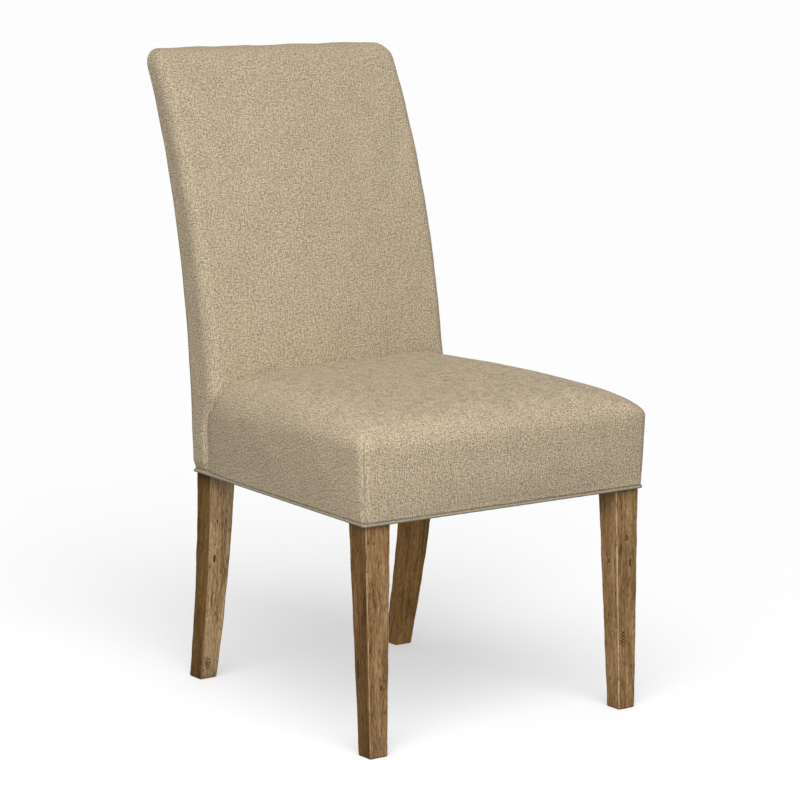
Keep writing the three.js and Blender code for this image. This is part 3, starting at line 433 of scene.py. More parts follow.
LEG_KNOTS = [
    ((-8 + 3 * GRAIN_APART, -16, 196), 2.3, 7.5),
    ((-6 + 3 * GRAIN_APART, -17, 255), 1.3, 2.5),
    ((-8 + 3 * GRAIN_APART, -17, 131), 0.9, 13),
    ((-14 + 1 * GRAIN_APART, -3, 281), 1.3, 6),
    ((4 + 1 * GRAIN_APART, -17, 99), 1.8, 4.5),
    ((-1 + 2 * GRAIN_APART, -19, 257), 1.9, 4.5),
    ((6 + 2 * GRAIN_APART, -19, 220), 1.8, 6),
    ((-18 + 2 * GRAIN_APART, 0, 222), 2.6, 3.2),
]
LEG_SCRAPES = [
    ((-16 + 1 * GRAIN_APART, 8, 126), 4.2, 17),
    ((-8 + 2 * GRAIN_APART, -16, 106), 4.6, 16),
    ((-5 + 3 * GRAIN_APART, -16, 26), 5.2, 13),
]
leg_wood = wood_material(
    "leg_wood", (0.470, 0.305, 0.155), (0.285, 0.170, 0.074), (0.105, 0.055, 0.020),
    (0.520, 0.405, 0.255), LEG_KNOTS, LEG_SCRAPES,
)

front_heights = np.concatenate([[0, 0.6, 1.6], np.linspace(4, RAIL_TOP, 130)])
foot_ease = np.interp(front_heights, [0, 1.6], [FOOT_EASE, 0])
to_cover = np.clip(front_heights / COVER_EDGE, 0, 1)
width = lerp(FRONT_FOOT_WIDTH, FRONT_TOP_WIDTH, to_cover)
depth = lerp(FRONT_FOOT_DEPTH, FRONT_TOP_DEPTH, to_cover)
worn = np.clip((COVER_EDGE + 10 - front_heights[:, None]) / 30, 0, 1)
# Per leg: arris wear, painted shadow under the cover, darkening towards the foot, and outer, rear,
# inner and front face factors of stain and painted light.
left_wear_stain_and_shade = (0.8, 0.05, 0.12, [(0.645, 0.555, 0.413), PLAIN, PLAIN, (1.025, 0.995, 0.975)])
right_wear_stain_and_shade = (0.9, 0.30, 0.10, [PLAIN, PLAIN, (1.270, 1.216, 1.160), (1.106, 1.095, 1.060)])
for word, side, seed, finish in (("left", -1, 1, left_wear_stain_and_shade), ("right", 1, 2, right_wear_stain_and_shade)):
    outer = lerp(238.2 + side * 2.2, 242.5 - side * 0.7, to_cover) - foot_ease
    leg = square_timber(
        f"leg_front_{word}", front_heights, outer - width + 2 * foot_ease, outer,
        foot_ease, depth - foot_ease, side, seed, worn, finish,
    )
    leg.data.materials.append(leg_wood)
    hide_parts(f"front_leg_{word}")
    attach(leg, "root")

# The two rear legs: each is sawn from one plank, a sabre leg below the seat and a slender stile
# of the back above it, let into the cloth. The wood and its wear are those of the front legs.
CREST_TOP = 950.4
CREST_ROUND = 22
POST_FRONT, SABRE_FOOT_FRONT = 450.2, 506.8
POST_OUTER, SABRE_FOOT_OUTER = 212.1, 198.3
POST_WIDTH, SABRE_FOOT_WIDTH = 44.7, 29.3
POST_DEPTH, SABRE_FOOT_DEPTH = 37, 31.7
SABRE_BOW = 6.4
STILE_INNER, CREST_INNER = 167.4, 178.1
CREST_DEPTH = 17.5
LET_IN = 5


def rear_face(z):
    """The back's rear face: a cubic in the height's share of 600 mm above the cover's edge."""
    share = (z - COVER_EDGE) / 600
    return 488.2 + 11 * share + 61.7 * share ** 2 + 43.8 * share ** 3


rear_heights = np.concatenate([
    [0, 0.6, 1.6], np.linspace(4, 333, 110),
    np.linspace(340, 926, 60), np.linspace(930, CREST_TOP, 8),
])
to_cover = np.clip(rear_heights / COVER_EDGE, 0, 1)
foot_ease = np.interp(rear_heights, [0, 1.6], [FOOT_EASE, 0])
in_back = smooth((rear_heights - RAIL_TOP) / 77)
in_stile = (rear_heights - RAIL_TOP) / (CREST_TOP - RAIL_TOP)
sabre_front = lerp(SABRE_FOOT_FRONT, POST_FRONT, to_cover)
sabre_front = sabre_front - 4 * SABRE_BOW * to_cover * (1 - to_cover)
sabre_rear = sabre_front + lerp(SABRE_FOOT_DEPTH, POST_DEPTH, to_cover)
stile_rear = rear_face(rear_heights) - 1
stile_depth = lerp(rear_face(RAIL_TOP) - 1 - POST_FRONT, CREST_DEPTH, in_stile)
above = rear_heights > COVER_EDGE
post_rear = np.where(above, np.maximum(stile_rear, sabre_rear), sabre_rear)
post_front = np.where(rear_heights > RAIL_TOP, post_rear - stile_depth, sabre_front)
post_outer = lerp(SABRE_FOOT_OUTER, POST_OUTER, to_cover)
post_outer = post_outer + np.clip((rear_heights - COVER_EDGE) / 600, 0, 1)
in_round = np.maximum(rear_heights - (CREST_TOP - CREST_ROUND), 0)
rounded = np.sqrt(np.maximum(CREST_ROUND ** 2 - in_round ** 2, 0))
post_outer = post_outer - CREST_ROUND + rounded
post_outer = post_outer - LET_IN * smooth((rear_heights - 330.5) / 5)
sabre_inner = lerp(SABRE_FOOT_OUTER - SABRE_FOOT_WIDTH, POST_OUTER - POST_WIDTH, to_cover)
stile_inner = lerp(STILE_INNER, CREST_INNER, in_back)
post_inner = np.where(rear_heights < RAIL_TOP, sabre_inner, stile_inner)
worn = np.clip((COVER_EDGE + 10 - rear_heights[:, None]) / 30, 0, 1)
# Per leg: arris wear, painted shadow under the cover, darkening towards the foot, and outer, rear,
# inner and front face factors of stain and painted light.
left_wear_stain_and_shade = (0.3, 0.60, 0.35, [(0.700, 0.610, 0.390), PLAIN, PLAIN, (1.660, 1.780, 1.970)])
right_wear_stain_and_shade = (0.4, 0.30, 0.10, [PLAIN, PLAIN, (1.370, 1.210, 0.860), (1.370, 1.210, 0.860)])
for word, side, seed, finish in (("left", -1, 3, left_wear_stain_and_shade), ("right", 1, 4, right_wear_stain_and_shade)):
    post = square_timber(
        f"leg_rear_{word}", rear_heights, post_inner + foot_ease, post_outer - foot_ease,
        post_front + foot_ease, post_rear - foot_ease, side, seed, worn, finish,
    )
    post.data.materials.append(leg_wood)
    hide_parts(f"rear_post_{word}")
    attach(post, "root")

# The cover cloth: a linen-look plain weave of uneven, slubbed threads about 1.3 mm apart, in
# beige with cream and grey-brown flecks. Every upholstered piece is cut from it.


def cloth_material(name, dark, middle, pale, pitch, contrast, bump):
    """Plain weave on the cloth map: warp and weft threads pass over and under by turns.

    A thread's height falls as a parabola to its sides and as a cosine towards the places where
    it dives. Its tone drifts along it and is a noise of its own less its neighbour's, so that
    pale and dark threads lie side by side. Each crossing adds its own fleck. Where the nap
    attribute is high, as on the seat, rubbing has lifted thicker slubs.
    """
    material, start = new_material(name)
    place = start.node("ShaderNodeUVMap", {"uv_map": "cloth"})
    place = place.node("ShaderNodeVectorMath", {"operation": "SCALE"}, {0: place, "Scale": 1000})
    u, v, _ = place.parts()
    object_place = coordinates(start)
    wander = (start.noise(place, 0.09, 2) - 0.5) * 1.2
    u = u / pitch + wander
    v = v / pitch - wander
    warp, weft = u.math("FLOOR"), v.math("FLOOR")
    across, along = u - warp - 0.5, v - weft - 0.5
    over = (warp + weft).math("FLOORED_MODULO", 2)
    warp_height = (1 - across * across * 3.6) * ((along * math.pi).math("COSINE") * 0.5 + 0.5)
    weft_height = (1 - along * along * 3.6) * ((across * math.pi).math("COSINE") * 0.5 + 0.5)
    height = start.blend(over, warp_height, weft_height)
    beside_warp = start.noise(start.vector((warp + 1) * 7.31, v * 0.28, 3.7), 1, 2)
    warp_tone = start.noise(start.vector(warp * 7.31, v * 0.28, 3.7), 1, 2) - beside_warp
    beside_weft = start.noise(start.vector(u * 0.28, (weft + 1) * 5.83, 9.1), 1, 2)
    weft_tone = start.noise(start.vector(u * 0.28, weft * 5.83, 9.1), 1, 2) - beside_weft
    thread = start.blend(over * 0.5 + 0.25, warp_tone, weft_tone)
    cell = start.vector(warp, weft, 0)
    fleck = start.node("ShaderNodeTexWhiteNoise", {"noise_dimensions": "3D"}, {"Vector": cell})
    slub_up = start.noise(start.vector(u * 0.55, v * 0.13, 1.3), 1, 2)
    slub_across = start.noise(start.vector(u * 0.13, v * 0.55, 5.9), 1, 2)
    slub = start.blend(over, slub_up, slub_across)
    cloudy = start.noise(object_place, 0.022, 3, 0.55)
    nap = start.node("ShaderNodeAttribute", {"attribute_name": "nap"}, output=2)
    lifted = start.noise(start.vector(u * 0.13, v * 0.13, 2.2), 1, 2) - 0.5
    tone = thread * 2.0 + (fleck - 0.5) * 0.3 + (slub - 0.5) * 0.25 + lifted * nap * 0.7
    tone = tone * contrast + (cloudy - 0.5) * 0.16 + 0.5
    base = start.node(
        "ShaderNodeValToRGB", None, {0: tone}, [(0.12, dark), (0.5, middle), (0.88, pale)],
    )
    # Painted shade: the gaps between threads and the seams are darkened.
    gap = 1 - height.ramp(0.05, 0.5)
    seam_shade = start.node("ShaderNodeAttribute", {"attribute_name": "seam_shade"}, output=2)
    shade = (gap * 0.30 + seam_shade * 0.45).clamped()
    colour = start.mix(shade, base, tuple(0.42 * c for c in dark))
    start.finish(colour, thread * 0.1 + 0.88, height + slub * 0.5, bump, Specular_IOR_Level=0.2)
    return material


cover_cloth = cloth_material(
    "cover_cloth", (0.280, 0.227, 0.157), (0.505, 0.410, 0.276), (0.715, 0.600, 0.425),
    pitch=1.7, contrast=1.0, bump=0.0004,
)

# The seat cover: one sewn cloth over the cushion's crown, front and sides, seamed down both front
# corners. It is pulled down over the rails and stapled under them, and tucked in at the back.
COVER_BOTTOM = 333.6
BACK_SIDE = 217.0
SEAT_FRONT = -9.6
SEAT_HALF = 254.6
SEAT_TAPER = 33.2
SEAT_DEPTH = 440
SEAT_SLOPE = SEAT_TAPER / SEAT_DEPTH
WIDEST_FRONT, WIDEST_REAR = 436, 417
CROWN_FRONT, CROWN_REAR = 467.2, 489.2
ROUND_FRONT, ROUND_REAR = 50, 77
INTO_BACK = 2.5
DRAWN_SIDE, DRAWN_FRONT = 6, 5
CLOTH_WALL = 0.0015
SIDE_POINTS, ARC_POINTS, FRONT_POINTS = 104, 31, 95
SIDE_ROWS, ROUND_ROWS, TOP_ROWS = 27, 24, 24
CROWN_ROW = SIDE_ROWS + ROUND_ROWS - 1


def back_width(z):
    """Half the back's width; the lowest 14 mm are drawn in under the rails."""
    drawn = smooth((348 - z) / 13)
    return BACK_SIDE + (z - COVER_EDGE) / 600 - 3.2 * drawn


def back_fade(z):
    """0 where the seat stands against the back, 1 above it."""
    return smooth((z - 396) / 62)


def back_edge(z):
    """Across and deep half axes of the rounding of the inside back's edge."""
    fade = back_fade(z)
    return lerp(8.5, 18.0, fade), lerp(10.0, 22.0, fade)


def back_thickness(z, x):
    """Thickness of the back; its middle swells forward as a squared parabola across."""
    share = (z - COVER_EDGE) / 600
    fade = back_fade(z)
    crown = 8.5 * np.clip(1 - (x / (back_width(z) - 18)) ** 2, 0, 1) ** 2 * fade
    return lerp(33.5, 66.7 - 29 * share + 8 * share * (1 - share), fade) + crown


def back_front(x, z):
    """Depth of the inside back's face at x and z, its edge rounded as a quarter ellipse."""
    wide, deep = back_edge(z)
    beyond = np.clip((abs(x) - (back_width(z) - wide)) / wide, 0, 1)
    return rear_face(z) - back_thickness(z, x) + deep * (1 - np.sqrt(1 - beyond ** 2))


def seat_run(y):
    """Share of the seat's depth, 0 at the front legs' faces and 1 at the back."""
    return np.clip(y / SEAT_DEPTH, 0, 1)


def seat_side(y):
    """Half the seat's width at its widest line; the sides run straight and closer to the back."""
    return SEAT_HALF - SEAT_TAPER * y / SEAT_DEPTH


def widest_line(y):
    """Height of the cushion's widest line."""
    return lerp(WIDEST_FRONT, WIDEST_REAR, seat_run(y))


def seat_height(inset, y):
    """Height of the cushion at an inset from its widest line: a quarter ellipse, then the crown."""
    run = seat_run(y)
    reach = lerp(ROUND_FRONT, ROUND_REAR, run)
    crown = lerp(CROWN_FRONT, CROWN_REAR, 1 - (1 - run) ** 2.7)
    left = 1 - np.minimum(inset / reach, 1)
    return widest_line(y) + (crown - widest_line(y)) * np.sqrt(1 - left ** 2)


def seat_ring(inset, draw, height_share, radius):
    """One line round the cushion: up the left side, round the corner, across, and back.

    The side runs from its rear end, just inside the back's face, to the corner arc, which is
    tangent to side and front. Where the seat is wider than the back, the side is tucked in
    towards its rear end, by a sum of two exponentials of the way to it. height_share is None
    above the widest line, where the height follows from the inset; below it the height runs
    from the cover's edge to the widest line.
    """
    tilt = math.atan(SEAT_SLOPE)
    front = SEAT_FRONT + inset + DRAWN_FRONT * draw
    centre_y = front + radius
    pulled = inset + DRAWN_SIDE * draw
    centre_x = seat_side(centre_y) - pulled - radius / math.cos(tilt)

    def height_at(y):
        if height_share is None:
            return seat_height(inset, y)
        return lerp(COVER_BOTTOM, widest_line(y), height_share)

    rear = SEAT_DEPTH
    for _ in range(6):
        z = height_at(rear)
        free = seat_side(rear) - inset
        tuck = max(free + inset - max(back_width(z) - 7.5, 209.5), 0) * math.exp(-inset / 14)
        rear = float(back_front(free - tuck, z)) + INTO_BACK
    tangent_y = centre_y + radius * math.sin(tilt)
    share = np.linspace(0, 1, SIDE_POINTS)
    share = share - 0.6 * share * (1 - share) * (1 - 0.4 * share)
    y = lerp(rear, tangent_y, share)
    tuck_in = tuck * (0.55 * np.exp(-(rear - y) / 9) + 0.45 * np.exp(-(rear - y) / 55))
    drawn = DRAWN_SIDE * draw * (rear - y) / (rear - tangent_y)
    side_x = seat_side(y) - inset - drawn - tuck_in
    side = np.stack([-side_x, y], axis=-1)
    turn = np.linspace(math.pi - tilt, 1.5 * math.pi, ARC_POINTS)[1:]
    arc = np.stack([-centre_x + radius * np.cos(turn), centre_y + radius * np.sin(turn)], axis=-1)
    across = np.linspace(-centre_x, centre_x, FRONT_POINTS)[1:-1]
    front_line = np.stack([across, front + 0 * across], axis=-1)
    half = np.vstack([side, arc])
    plan = np.vstack([half, front_line, half[::-1] * [-1, 1]])
    z = height_at(plan[:, 1])
    return np.column_stack([plan, z])


def seat_grid():
    """The seat cover as rows from the cover's edge to the middle of the crown.

    Below the widest line the sides draw in by a power of the way down; above it each row lies
    further in, with the angle of its quarter ellipse in even steps; the last rows
    shrink towards the middle of the rear edge. The crown then sinks towards the back, most at
    the left, by millimetres that grow with the square of the depth.
    """
    rows = []
    for share in np.linspace(0, 1, SIDE_ROWS):
        draw = 1.1 * (1 - share) ** 1.15
        rows.append(seat_ring(0.0, draw, share, lerp(9, 16, share)))
    for angle in np.linspace(0, np.pi / 2, ROUND_ROWS + 1)[1:]:
        inset = 78 * (1 - math.cos(angle))
        rows.append(seat_ring(inset, 0.0, None, 16 + 0.8 * inset))
    last = rows[-1]
    old_rear = back_front(last[:, 0], last[:, 2]) + INTO_BACK
    for share in np.linspace(0, 1, TOP_ROWS + 1)[1:]:
        x = last[:, 0] * (1 - share)
        rear = back_front(x, 490.0 + 0 * x) + INTO_BACK
        y = rear + (last[:, 1] - old_rear) * (1 - share)
        rows.append(np.column_stack([x, y, seat_height(200.0, y)]))
    grid = np.array(rows)
    x, run, z = grid[..., 0], seat_run(grid[..., 1]), grid[..., 2]
    sunk = (5.2 + 4.5 * smooth(-x / 100) - 3.2 * smooth((x - 60) / 120)) * run ** 2
    grid[..., 2] = z - sunk * np.clip((z - 425) / 60, 0, 1)
    return grid


def length_from(grid, row, axes):
    """Running length of each column back to a row, measured along some of the three axes."""
    steps = np.linalg.norm(np.diff(grid[..., axes], axis=0), axis=-1)
    run = np.concatenate([np.zeros_like(steps[:1]), np.cumsum(steps, axis=0)])
    return run[row] - run


def seat_maps(grid):
    """Two cloth maps of the seat cover, one for the front's faces and one for the sides'.

    On the crown both are the plan. Below its edge the front's map counts the length down the
    cloth forwards from there, and the sides' map counts it outwards, so threads aren't stretched.
    """
    x, y = grid[..., 0], grid[..., 1]
    rows = np.arange(len(grid))[:, None]
    falls = rows < CROWN_ROW
    front_down = length_from(grid, CROWN_ROW, [1, 2])
    side_down = length_from(grid, CROWN_ROW, [0, 2])
    front = np.stack([x, np.where(falls, y[CROWN_ROW] - front_down, y)], axis=-1)
    side_x = x[CROWN_ROW] + np.sign(x[CROWN_ROW]) * side_down
    side = np.stack([np.where(falls, side_x, x), y], axis=-1)
    return np.stack([front, side])


SWELL_FRAMES = 20
EVEN_PASSES = 60


def evened(field):
    """The field after each point took a mean with its four neighbours, many times over."""
    for _ in range(EVEN_PASSES):
        wide = np.pad(field, 1, mode="edge")
        beside = wide[:-2, 1:-1] + wide[2:, 1:-1] + wide[1:-1, :-2] + wide[1:-1, 2:]
        field = (beside + 4 * field) / 8
    return field


def swollen(name, grid, held, rows, columns, reach):
    """The grid after its cloth is blown up softly from inside.

    A coarse copy of the grid is cloth under pressure for some frames, without gravity, pinned
    where held is 1. Each point then moves outwards as the coarse cloth did there, eased so that
    it stays within the reach in mm, and evened; the foam keeps it from moving inwards.
    """
    normal = normals_of(grid)
    coarse = grid_mesh(name, grid[np.ix_(rows, columns)])
    start = np.empty(len(rows) * len(columns) * 3)
    coarse.data.vertices.foreach_get("co", start)
    pins = coarse.vertex_groups.new(name="held")
    weights = held[np.ix_(rows, columns)].ravel()
    for weight in np.unique(weights[weights > 0]):
        pins.add(np.flatnonzero(weights == weight).tolist(), float(weight), "REPLACE")
    cloth = coarse.modifiers.new("cloth", "CLOTH")
    cloth.settings.quality = 6
    cloth.settings.mass = 0.3
    cloth.settings.tension_stiffness = 40
    cloth.settings.compression_stiffness = 40
    cloth.settings.shear_stiffness = 10
    cloth.settings.bending_stiffness = 1.5
    cloth.settings.vertex_group_mass = "held"
    cloth.settings.use_pressure = True
    cloth.settings.uniform_pressure_force = 1.5
    cloth.settings.effector_weights.gravity = 0
    cloth.collision_settings.use_collision = False
    for step in range(1, SWELL_FRAMES + 1):
        bpy.context.scene.frame_set(step)
    settled = coarse.evaluated_get(bpy.context.evaluated_depsgraph_get()).to_mesh()
    end = np.empty_like(start)
    settled.vertices.foreach_get("co", end)
    bpy.data.objects.remove(coarse)
    bpy.context.scene.frame_set(1)
    move = (end - start).reshape(len(rows), len(columns), 3) * 1000
    outwards = np.sum(move * normal[np.ix_(rows, columns)], axis=-1)
    over, down = np.arange(grid.shape[1]), np.arange(len(grid))
    outwards = np.array([np.interp(over, columns, line) for line in outwards])
    outwards = np.array([np.interp(down, rows, line) for line in outwards.T]).T
    beyond = np.clip((down - rows[-1]) / max(down[-1] - rows[-1], 1), 0, 1)[:, None]
    outwards = lerp(outwards, outwards[rows[-1]].mean(), beyond)
    eased = evened(reach * np.tanh(np.maximum(outwards, 0) / (2 * reach))) * (1 - held)
    return grid + normal * eased[..., None]


def soft_waves(grid, seed, small, large):
    """Uneven padding: waves of about 60 and 155 mm across, in millimetres outwards."""
    x, y, z = grid[..., 0], grid[..., 1], grid[..., 2]
    fine = waves(seed, (x, 60), (y, 55), (z, 60))
    broad = waves(seed + 5, (x, 160), (y, 150), (z, 150))
    return small * fine + large * broad


def normals_of(grid):
    """Unit normals of a grid, from the cross product of its two directions of travel."""
    across = np.gradient(grid, axis=1)
    up = np.gradient(grid, axis=0)
    normal = np.cross(across, up)
    return normal / np.maximum(np.linalg.norm(normal, axis=-1, keepdims=True), 1e-9)


seat = seat_grid()
columns = np.arange(seat.shape[1])
seat_held = np.zeros(seat.shape[:2])
seat_held[:3] = 1
seat_held[:, [0, 1, 2, 3, -4, -3, -2, -1]] = 1
seat = seat - normals_of(seat) * (0.3 * (1 - seat_held))[..., None]
COARSE_ROWS = np.arange(0, 71, 2)
SEAT_SWELL, BACK_SWELL = 3.6, 3.2
seat = swollen("seat_proxy", seat, seat_held, COARSE_ROWS, columns[::3], SEAT_SWELL)

# The rounded front edge is eased between the corner seams, as soft padding rounds it off.
front_edge = smooth((45 - seat[..., 1]) / 60) * smooth((seat[..., 2] - 385) / 30)
front_edge = front_edge * smooth((238 - abs(seat[..., 0])) / 35)
softened = np.stack([evened(seat[..., axis]) for axis in range(3)], axis=-1)
seat = lerp(seat, softened, front_edge[..., None])

# The normals at the rear ends follow their neighbours', and those of the crown's middle point up.
seat_normals = normals_of(seat)
seat_normals[:, :3] = seat_normals[:, 3:4]
seat_normals[:, -3:] = seat_normals[:, -4:-3]
seat_normals[CROWN_ROW + 16:] = [0, 0, 1]
left_seam = SIDE_POINTS + ARC_POINTS // 2
right_seam = columns[-1] - left_seam
beside_seams = (columns[:-1] < left_seam) | (columns[:-1] >= right_seam)
from_seam = np.minimum(abs(columns - left_seam), abs(columns - right_seam))

# The seams sink between two low puckers, and the crown's rear end dives into the crease.
seam_rise = 1 - smooth((seat[..., 2] - 438) / 22)
seam_mask = np.exp(-((from_seam / 1.3) ** 2))[None, :] * seam_rise
seam_pucker = np.exp(-((from_seam / 6.0) ** 2))[None, :] * seam_rise
seat_lift = soft_waves(seat, 11, 0.08, 0.25)
edge_hold = smooth((seat[..., 2] - COVER_BOTTOM) / 25)
seat_lift = seat_lift * edge_hold - 0.9 * seam_mask + 0.35 * seam_pucker
to_back = back_front(seat[..., 0], seat[..., 2]) + INTO_BACK - seat[..., 1]
crease = np.exp(-((to_back / 5.5) ** 2)) * smooth((seat[..., 2] - 408) / 25)
seat_lift = seat_lift - lerp(3.0, 5.0, smooth((-seat[..., 0] - 60) / 80)) * crease
seat_nap = np.clip(seat_normals[..., 2], 0, 1) ** 3
seat_surface = seat + seat_normals * seat_lift[..., None]
# The seam mask also paints shade into the corner seams.
seat_cover = grid_mesh(
    "seat_cushion_cover", seat_surface, seat_maps(seat), chart=beside_seams.astype(int),
    attributes={"seam_shade": seam_mask, "nap": seat_nap},
)
seat_cover.data.materials.append(cover_cloth)


def walled(piece, thickness):
    """Gives a sheet its thickness in metres, inwards from its outer face."""
    wall = piece.modifiers.new("wall", "SOLIDIFY")
    wall.thickness = thickness
    wall.offset = -1


walled(seat_cover, CLOTH_WALL)
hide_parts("seat_cover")
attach(seat_cover, "root")

# Under the seat cover: a layer of polyester wadding over a block of foam, which stands on the
# webbing. Both follow the cover's shape.
WADDING_IN, FOAM_IN = 1.9, 4.3
WADDING_WALL = 0.0019
FOAM_BOTTOM, FOAM_MIDDLE, FOAM_FIRST_ROW = 407.0, 230.0, 17


def padding_material(name, dark, pale, scale, depth):
    """Fine irregular cells or fibres: noise at two scales for colour and height."""
    material, start = new_material(name)
    place = coordinates(start)
    cells = start.noise(place, scale, 4, 0.7)
    broad = start.noise(place, scale * 0.06, 2)
    tone = (cells * 0.7 + broad * 0.5 - 0.1).clamped()
    colour = start.mix(tone, dark, pale)
    start.finish(colour, tone * 0.1 + 0.88, cells, depth, Specular_IOR_Level=0.1)
    return material


foam_material = padding_material("foam", (0.62, 0.52, 0.33), (0.80, 0.72, 0.52), 1.4, 0.0005)
wadding_material = padding_material("batting", (0.70, 0.69, 0.66), (0.88, 0.87, 0.85), 0.5, 0.001)
wadding = grid_mesh("seat_wadding", seat_surface - seat_normals * WADDING_IN)
wadding.data.materials.append(wadding_material)
walled(wadding, WADDING_WALL)
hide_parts("seat_batting")
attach(wadding, "root")

foam_rows = (seat_surface - seat_normals * FOAM_IN)[FOAM_FIRST_ROW:]
foam_floor = foam_rows[:1].copy()
foam_floor[..., 2] = FOAM_BOTTOM
foam_middle = foam_floor.copy()
foam_middle[..., 0] = 0
foam_middle[..., 1] = FOAM_MIDDLE
foam = grid_mesh("seat_foam_block", np.concatenate([foam_middle, foam_floor, foam_rows]))
foam.data.materials.append(foam_material)
capped(foam)
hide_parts("seat_foam")
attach(foam, "root")

# The inside back: one cloth over the front, top and sides of the padded back, drawn round to
# the rear edges, where the outside back is sewn on. Its edge is rolled softly over the foam.
BACK_TOP = 956.6
BACK_RADIUS, INNER_RADIUS = 27.0, 7.0
FACE_MIDDLE = 409.0
UP_POINTS, TURN_POINTS, TOP_POINTS = 150, 15, 84
RIM_ROWS, EDGE_ROWS, FACE_ROWS = 10, 17, 45
EDGE_ROW = RIM_ROWS + EDGE_ROWS - 1


def back_line(inset, radius):
    """One line over the back in x and z: up the left side, over the top and down."""
    top = BACK_TOP - inset
    shoulder = top - radius
    rise = np.linspace(COVER_BOTTOM, shoulder, UP_POINTS)
    sides = np.stack([-(back_width(rise) - inset), rise], axis=-1)
    centre = back_width(shoulder) - inset - radius
    turn = np.linspace(np.pi, np.pi / 2, TURN_POINTS)[1:]
    arc = np.stack([-centre + radius * np.cos(turn), shoulder + radius * np.sin(turn)], axis=-1)
    across = np.linspace(-centre, centre, TOP_POINTS)[1:-1]
    middle = np.stack([across, top + 0 * across], axis=-1)
    half = np.vstack([sides, arc])
    return np.vstack([half, middle, half[::-1] * [-1, 1]])


def back_grid():
    """The inside back as rows from the rear rim round the edge to the middle of the face.

    On the rounding a point lies in by the across axis times one minus the cosine and forward by
    the deep axis times the sine; on the face it lies at the back's crowned thickness, and its
    rows close in on the middle of the seat's rear edge.
    """
    rows = []
    line = back_line(0.0, BACK_RADIUS)
    x, z = line.T
    start = back_thickness(z, back_width(z)) - back_edge(z)[1]
    rim = 0.5 - 1.0 * smooth((350 - z) / 15)
    for share in np.linspace(0, 1, RIM_ROWS + 1)[:-1]:
        rows.append(np.column_stack([x, rear_face(z) + rim - (start + rim) * share, z]))
    inner = back_line(back_edge(BACK_TOP)[0], INNER_RADIUS)
    for turn in np.linspace(0, np.pi / 2, EDGE_ROWS):
        share = 1 - math.cos(turn)
        x, z = lerp(line, inner, share).T
        wide, deep = back_edge(z)
        x = np.where(z < 700, np.sign(x) * (back_width(z) - wide * share), x)
        thick = lerp(back_thickness(z, back_width(z)), back_thickness(z, x), math.sin(turn))
        rows.append(np.column_stack([x, rear_face(z) - thick + deep * (1 - math.sin(turn)), z]))
    face = rows[-1]
    for share in np.linspace(0, 1, FACE_ROWS + 1)[1:]:
        x = face[:, 0] * (1 - share)
        above = (face[:, 2] - COVER_BOTTOM) * (1 - share)
        lifted = (FACE_MIDDLE - COVER_BOTTOM) * smooth(share * 8) * np.exp(-above / 150)
        z = COVER_BOTTOM + above + lifted
        rows.append(np.column_stack([x, rear_face(z) - back_thickness(z, x), z]))
    return np.array(rows)[:, ::-1]


back = back_grid()
back_held = smooth((490 - back[..., 2]) / 15)
back_held[:2] = 1
back = back - normals_of(back) * (0.3 * (1 - back_held))[..., None]
columns = np.arange(back.shape[1])
back = swollen("back_proxy", back, back_held, COARSE_ROWS, columns[::3], BACK_SWELL)
back_normals = normals_of(back)


def back_maps(grid):
    """Two cloth maps of the inside back: one for the face and the top, one for the sides.

    On the face both are x and the height. Behind its edge the first adds the length of cloth
    upwards and the second adds it across.
    """
    x, z = grid[..., 0], grid[..., 2]
    behind = np.arange(len(grid))[:, None] < EDGE_ROW
    over_top = z[EDGE_ROW] + length_from(grid, EDGE_ROW, [1, 2])
    round_side = x[EDGE_ROW] + np.sign(x[EDGE_ROW]) * length_from(grid, EDGE_ROW, [0, 1])
    top = np.stack([x, np.where(behind, over_top, z)], axis=-1)
    side = np.stack([np.where(behind, round_side, x), z], axis=-1)
    return np.stack([top, side])


back_lift = soft_waves(back, 23, 0.12, 0.35) * smooth((back[..., 2] - COVER_BOTTOM) / 30)
back_surface = back + back_normals * back_lift[..., None]
left_corner = UP_POINTS + TURN_POINTS // 2
right_corner = columns[-1] - left_corner
round_side = (columns[:-1] < left_corner) | (columns[:-1] >= right_corner)
back_cover = grid_mesh(
    "inside_back_cloth", back_surface, back_maps(back), chart=round_side.astype(int),
)
back_cover.data.materials.append(cover_cloth)
walled(back_cover, CLOTH_WALL)
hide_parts("inside_back_cover")
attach(back_cover, "root")

# Inside the back: a layer of polyester wadding and a foam slab, glued over the webbing and the
# back rails. Both follow the inside back's shape, and the slab ends above the seat.
SLAB_BOTTOM, SLAB_TOP, SLAB_MIDDLE, SLAB_FIRST_ROW = 441.0, 950, 690, 14
back_wadding = grid_mesh("back_wadding", (back_surface - back_normals * WADDING_IN)[1:])
back_wadding.data.materials.append(wadding_material)
walled(back_wadding, WADDING_WALL)
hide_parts("back_batting")
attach(back_wadding, "root")
slab_front = (back_surface - back_normals * FOAM_IN)[SLAB_FIRST_ROW:]
slab_front[..., 2] = np.maximum(slab_front[..., 2], SLAB_BOTTOM)
slab_rear = slab_front[:1].copy()
slab_rear[..., 1] = rear_face(np.minimum(slab_rear[..., 2], SLAB_TOP)) - 22
slab_middle = slab_rear.copy()
slab_middle[..., 0] = 0
slab_middle[..., 2] = SLAB_MIDDLE
slab_middle[..., 1] = rear_face(SLAB_MIDDLE) - 32
slab = grid_mesh("back_foam_slab", np.concatenate([slab_middle, slab_rear, slab_front]))
slab.data.materials.append(foam_material)
capped(slab)
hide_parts("back_foam")
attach(slab, "root")

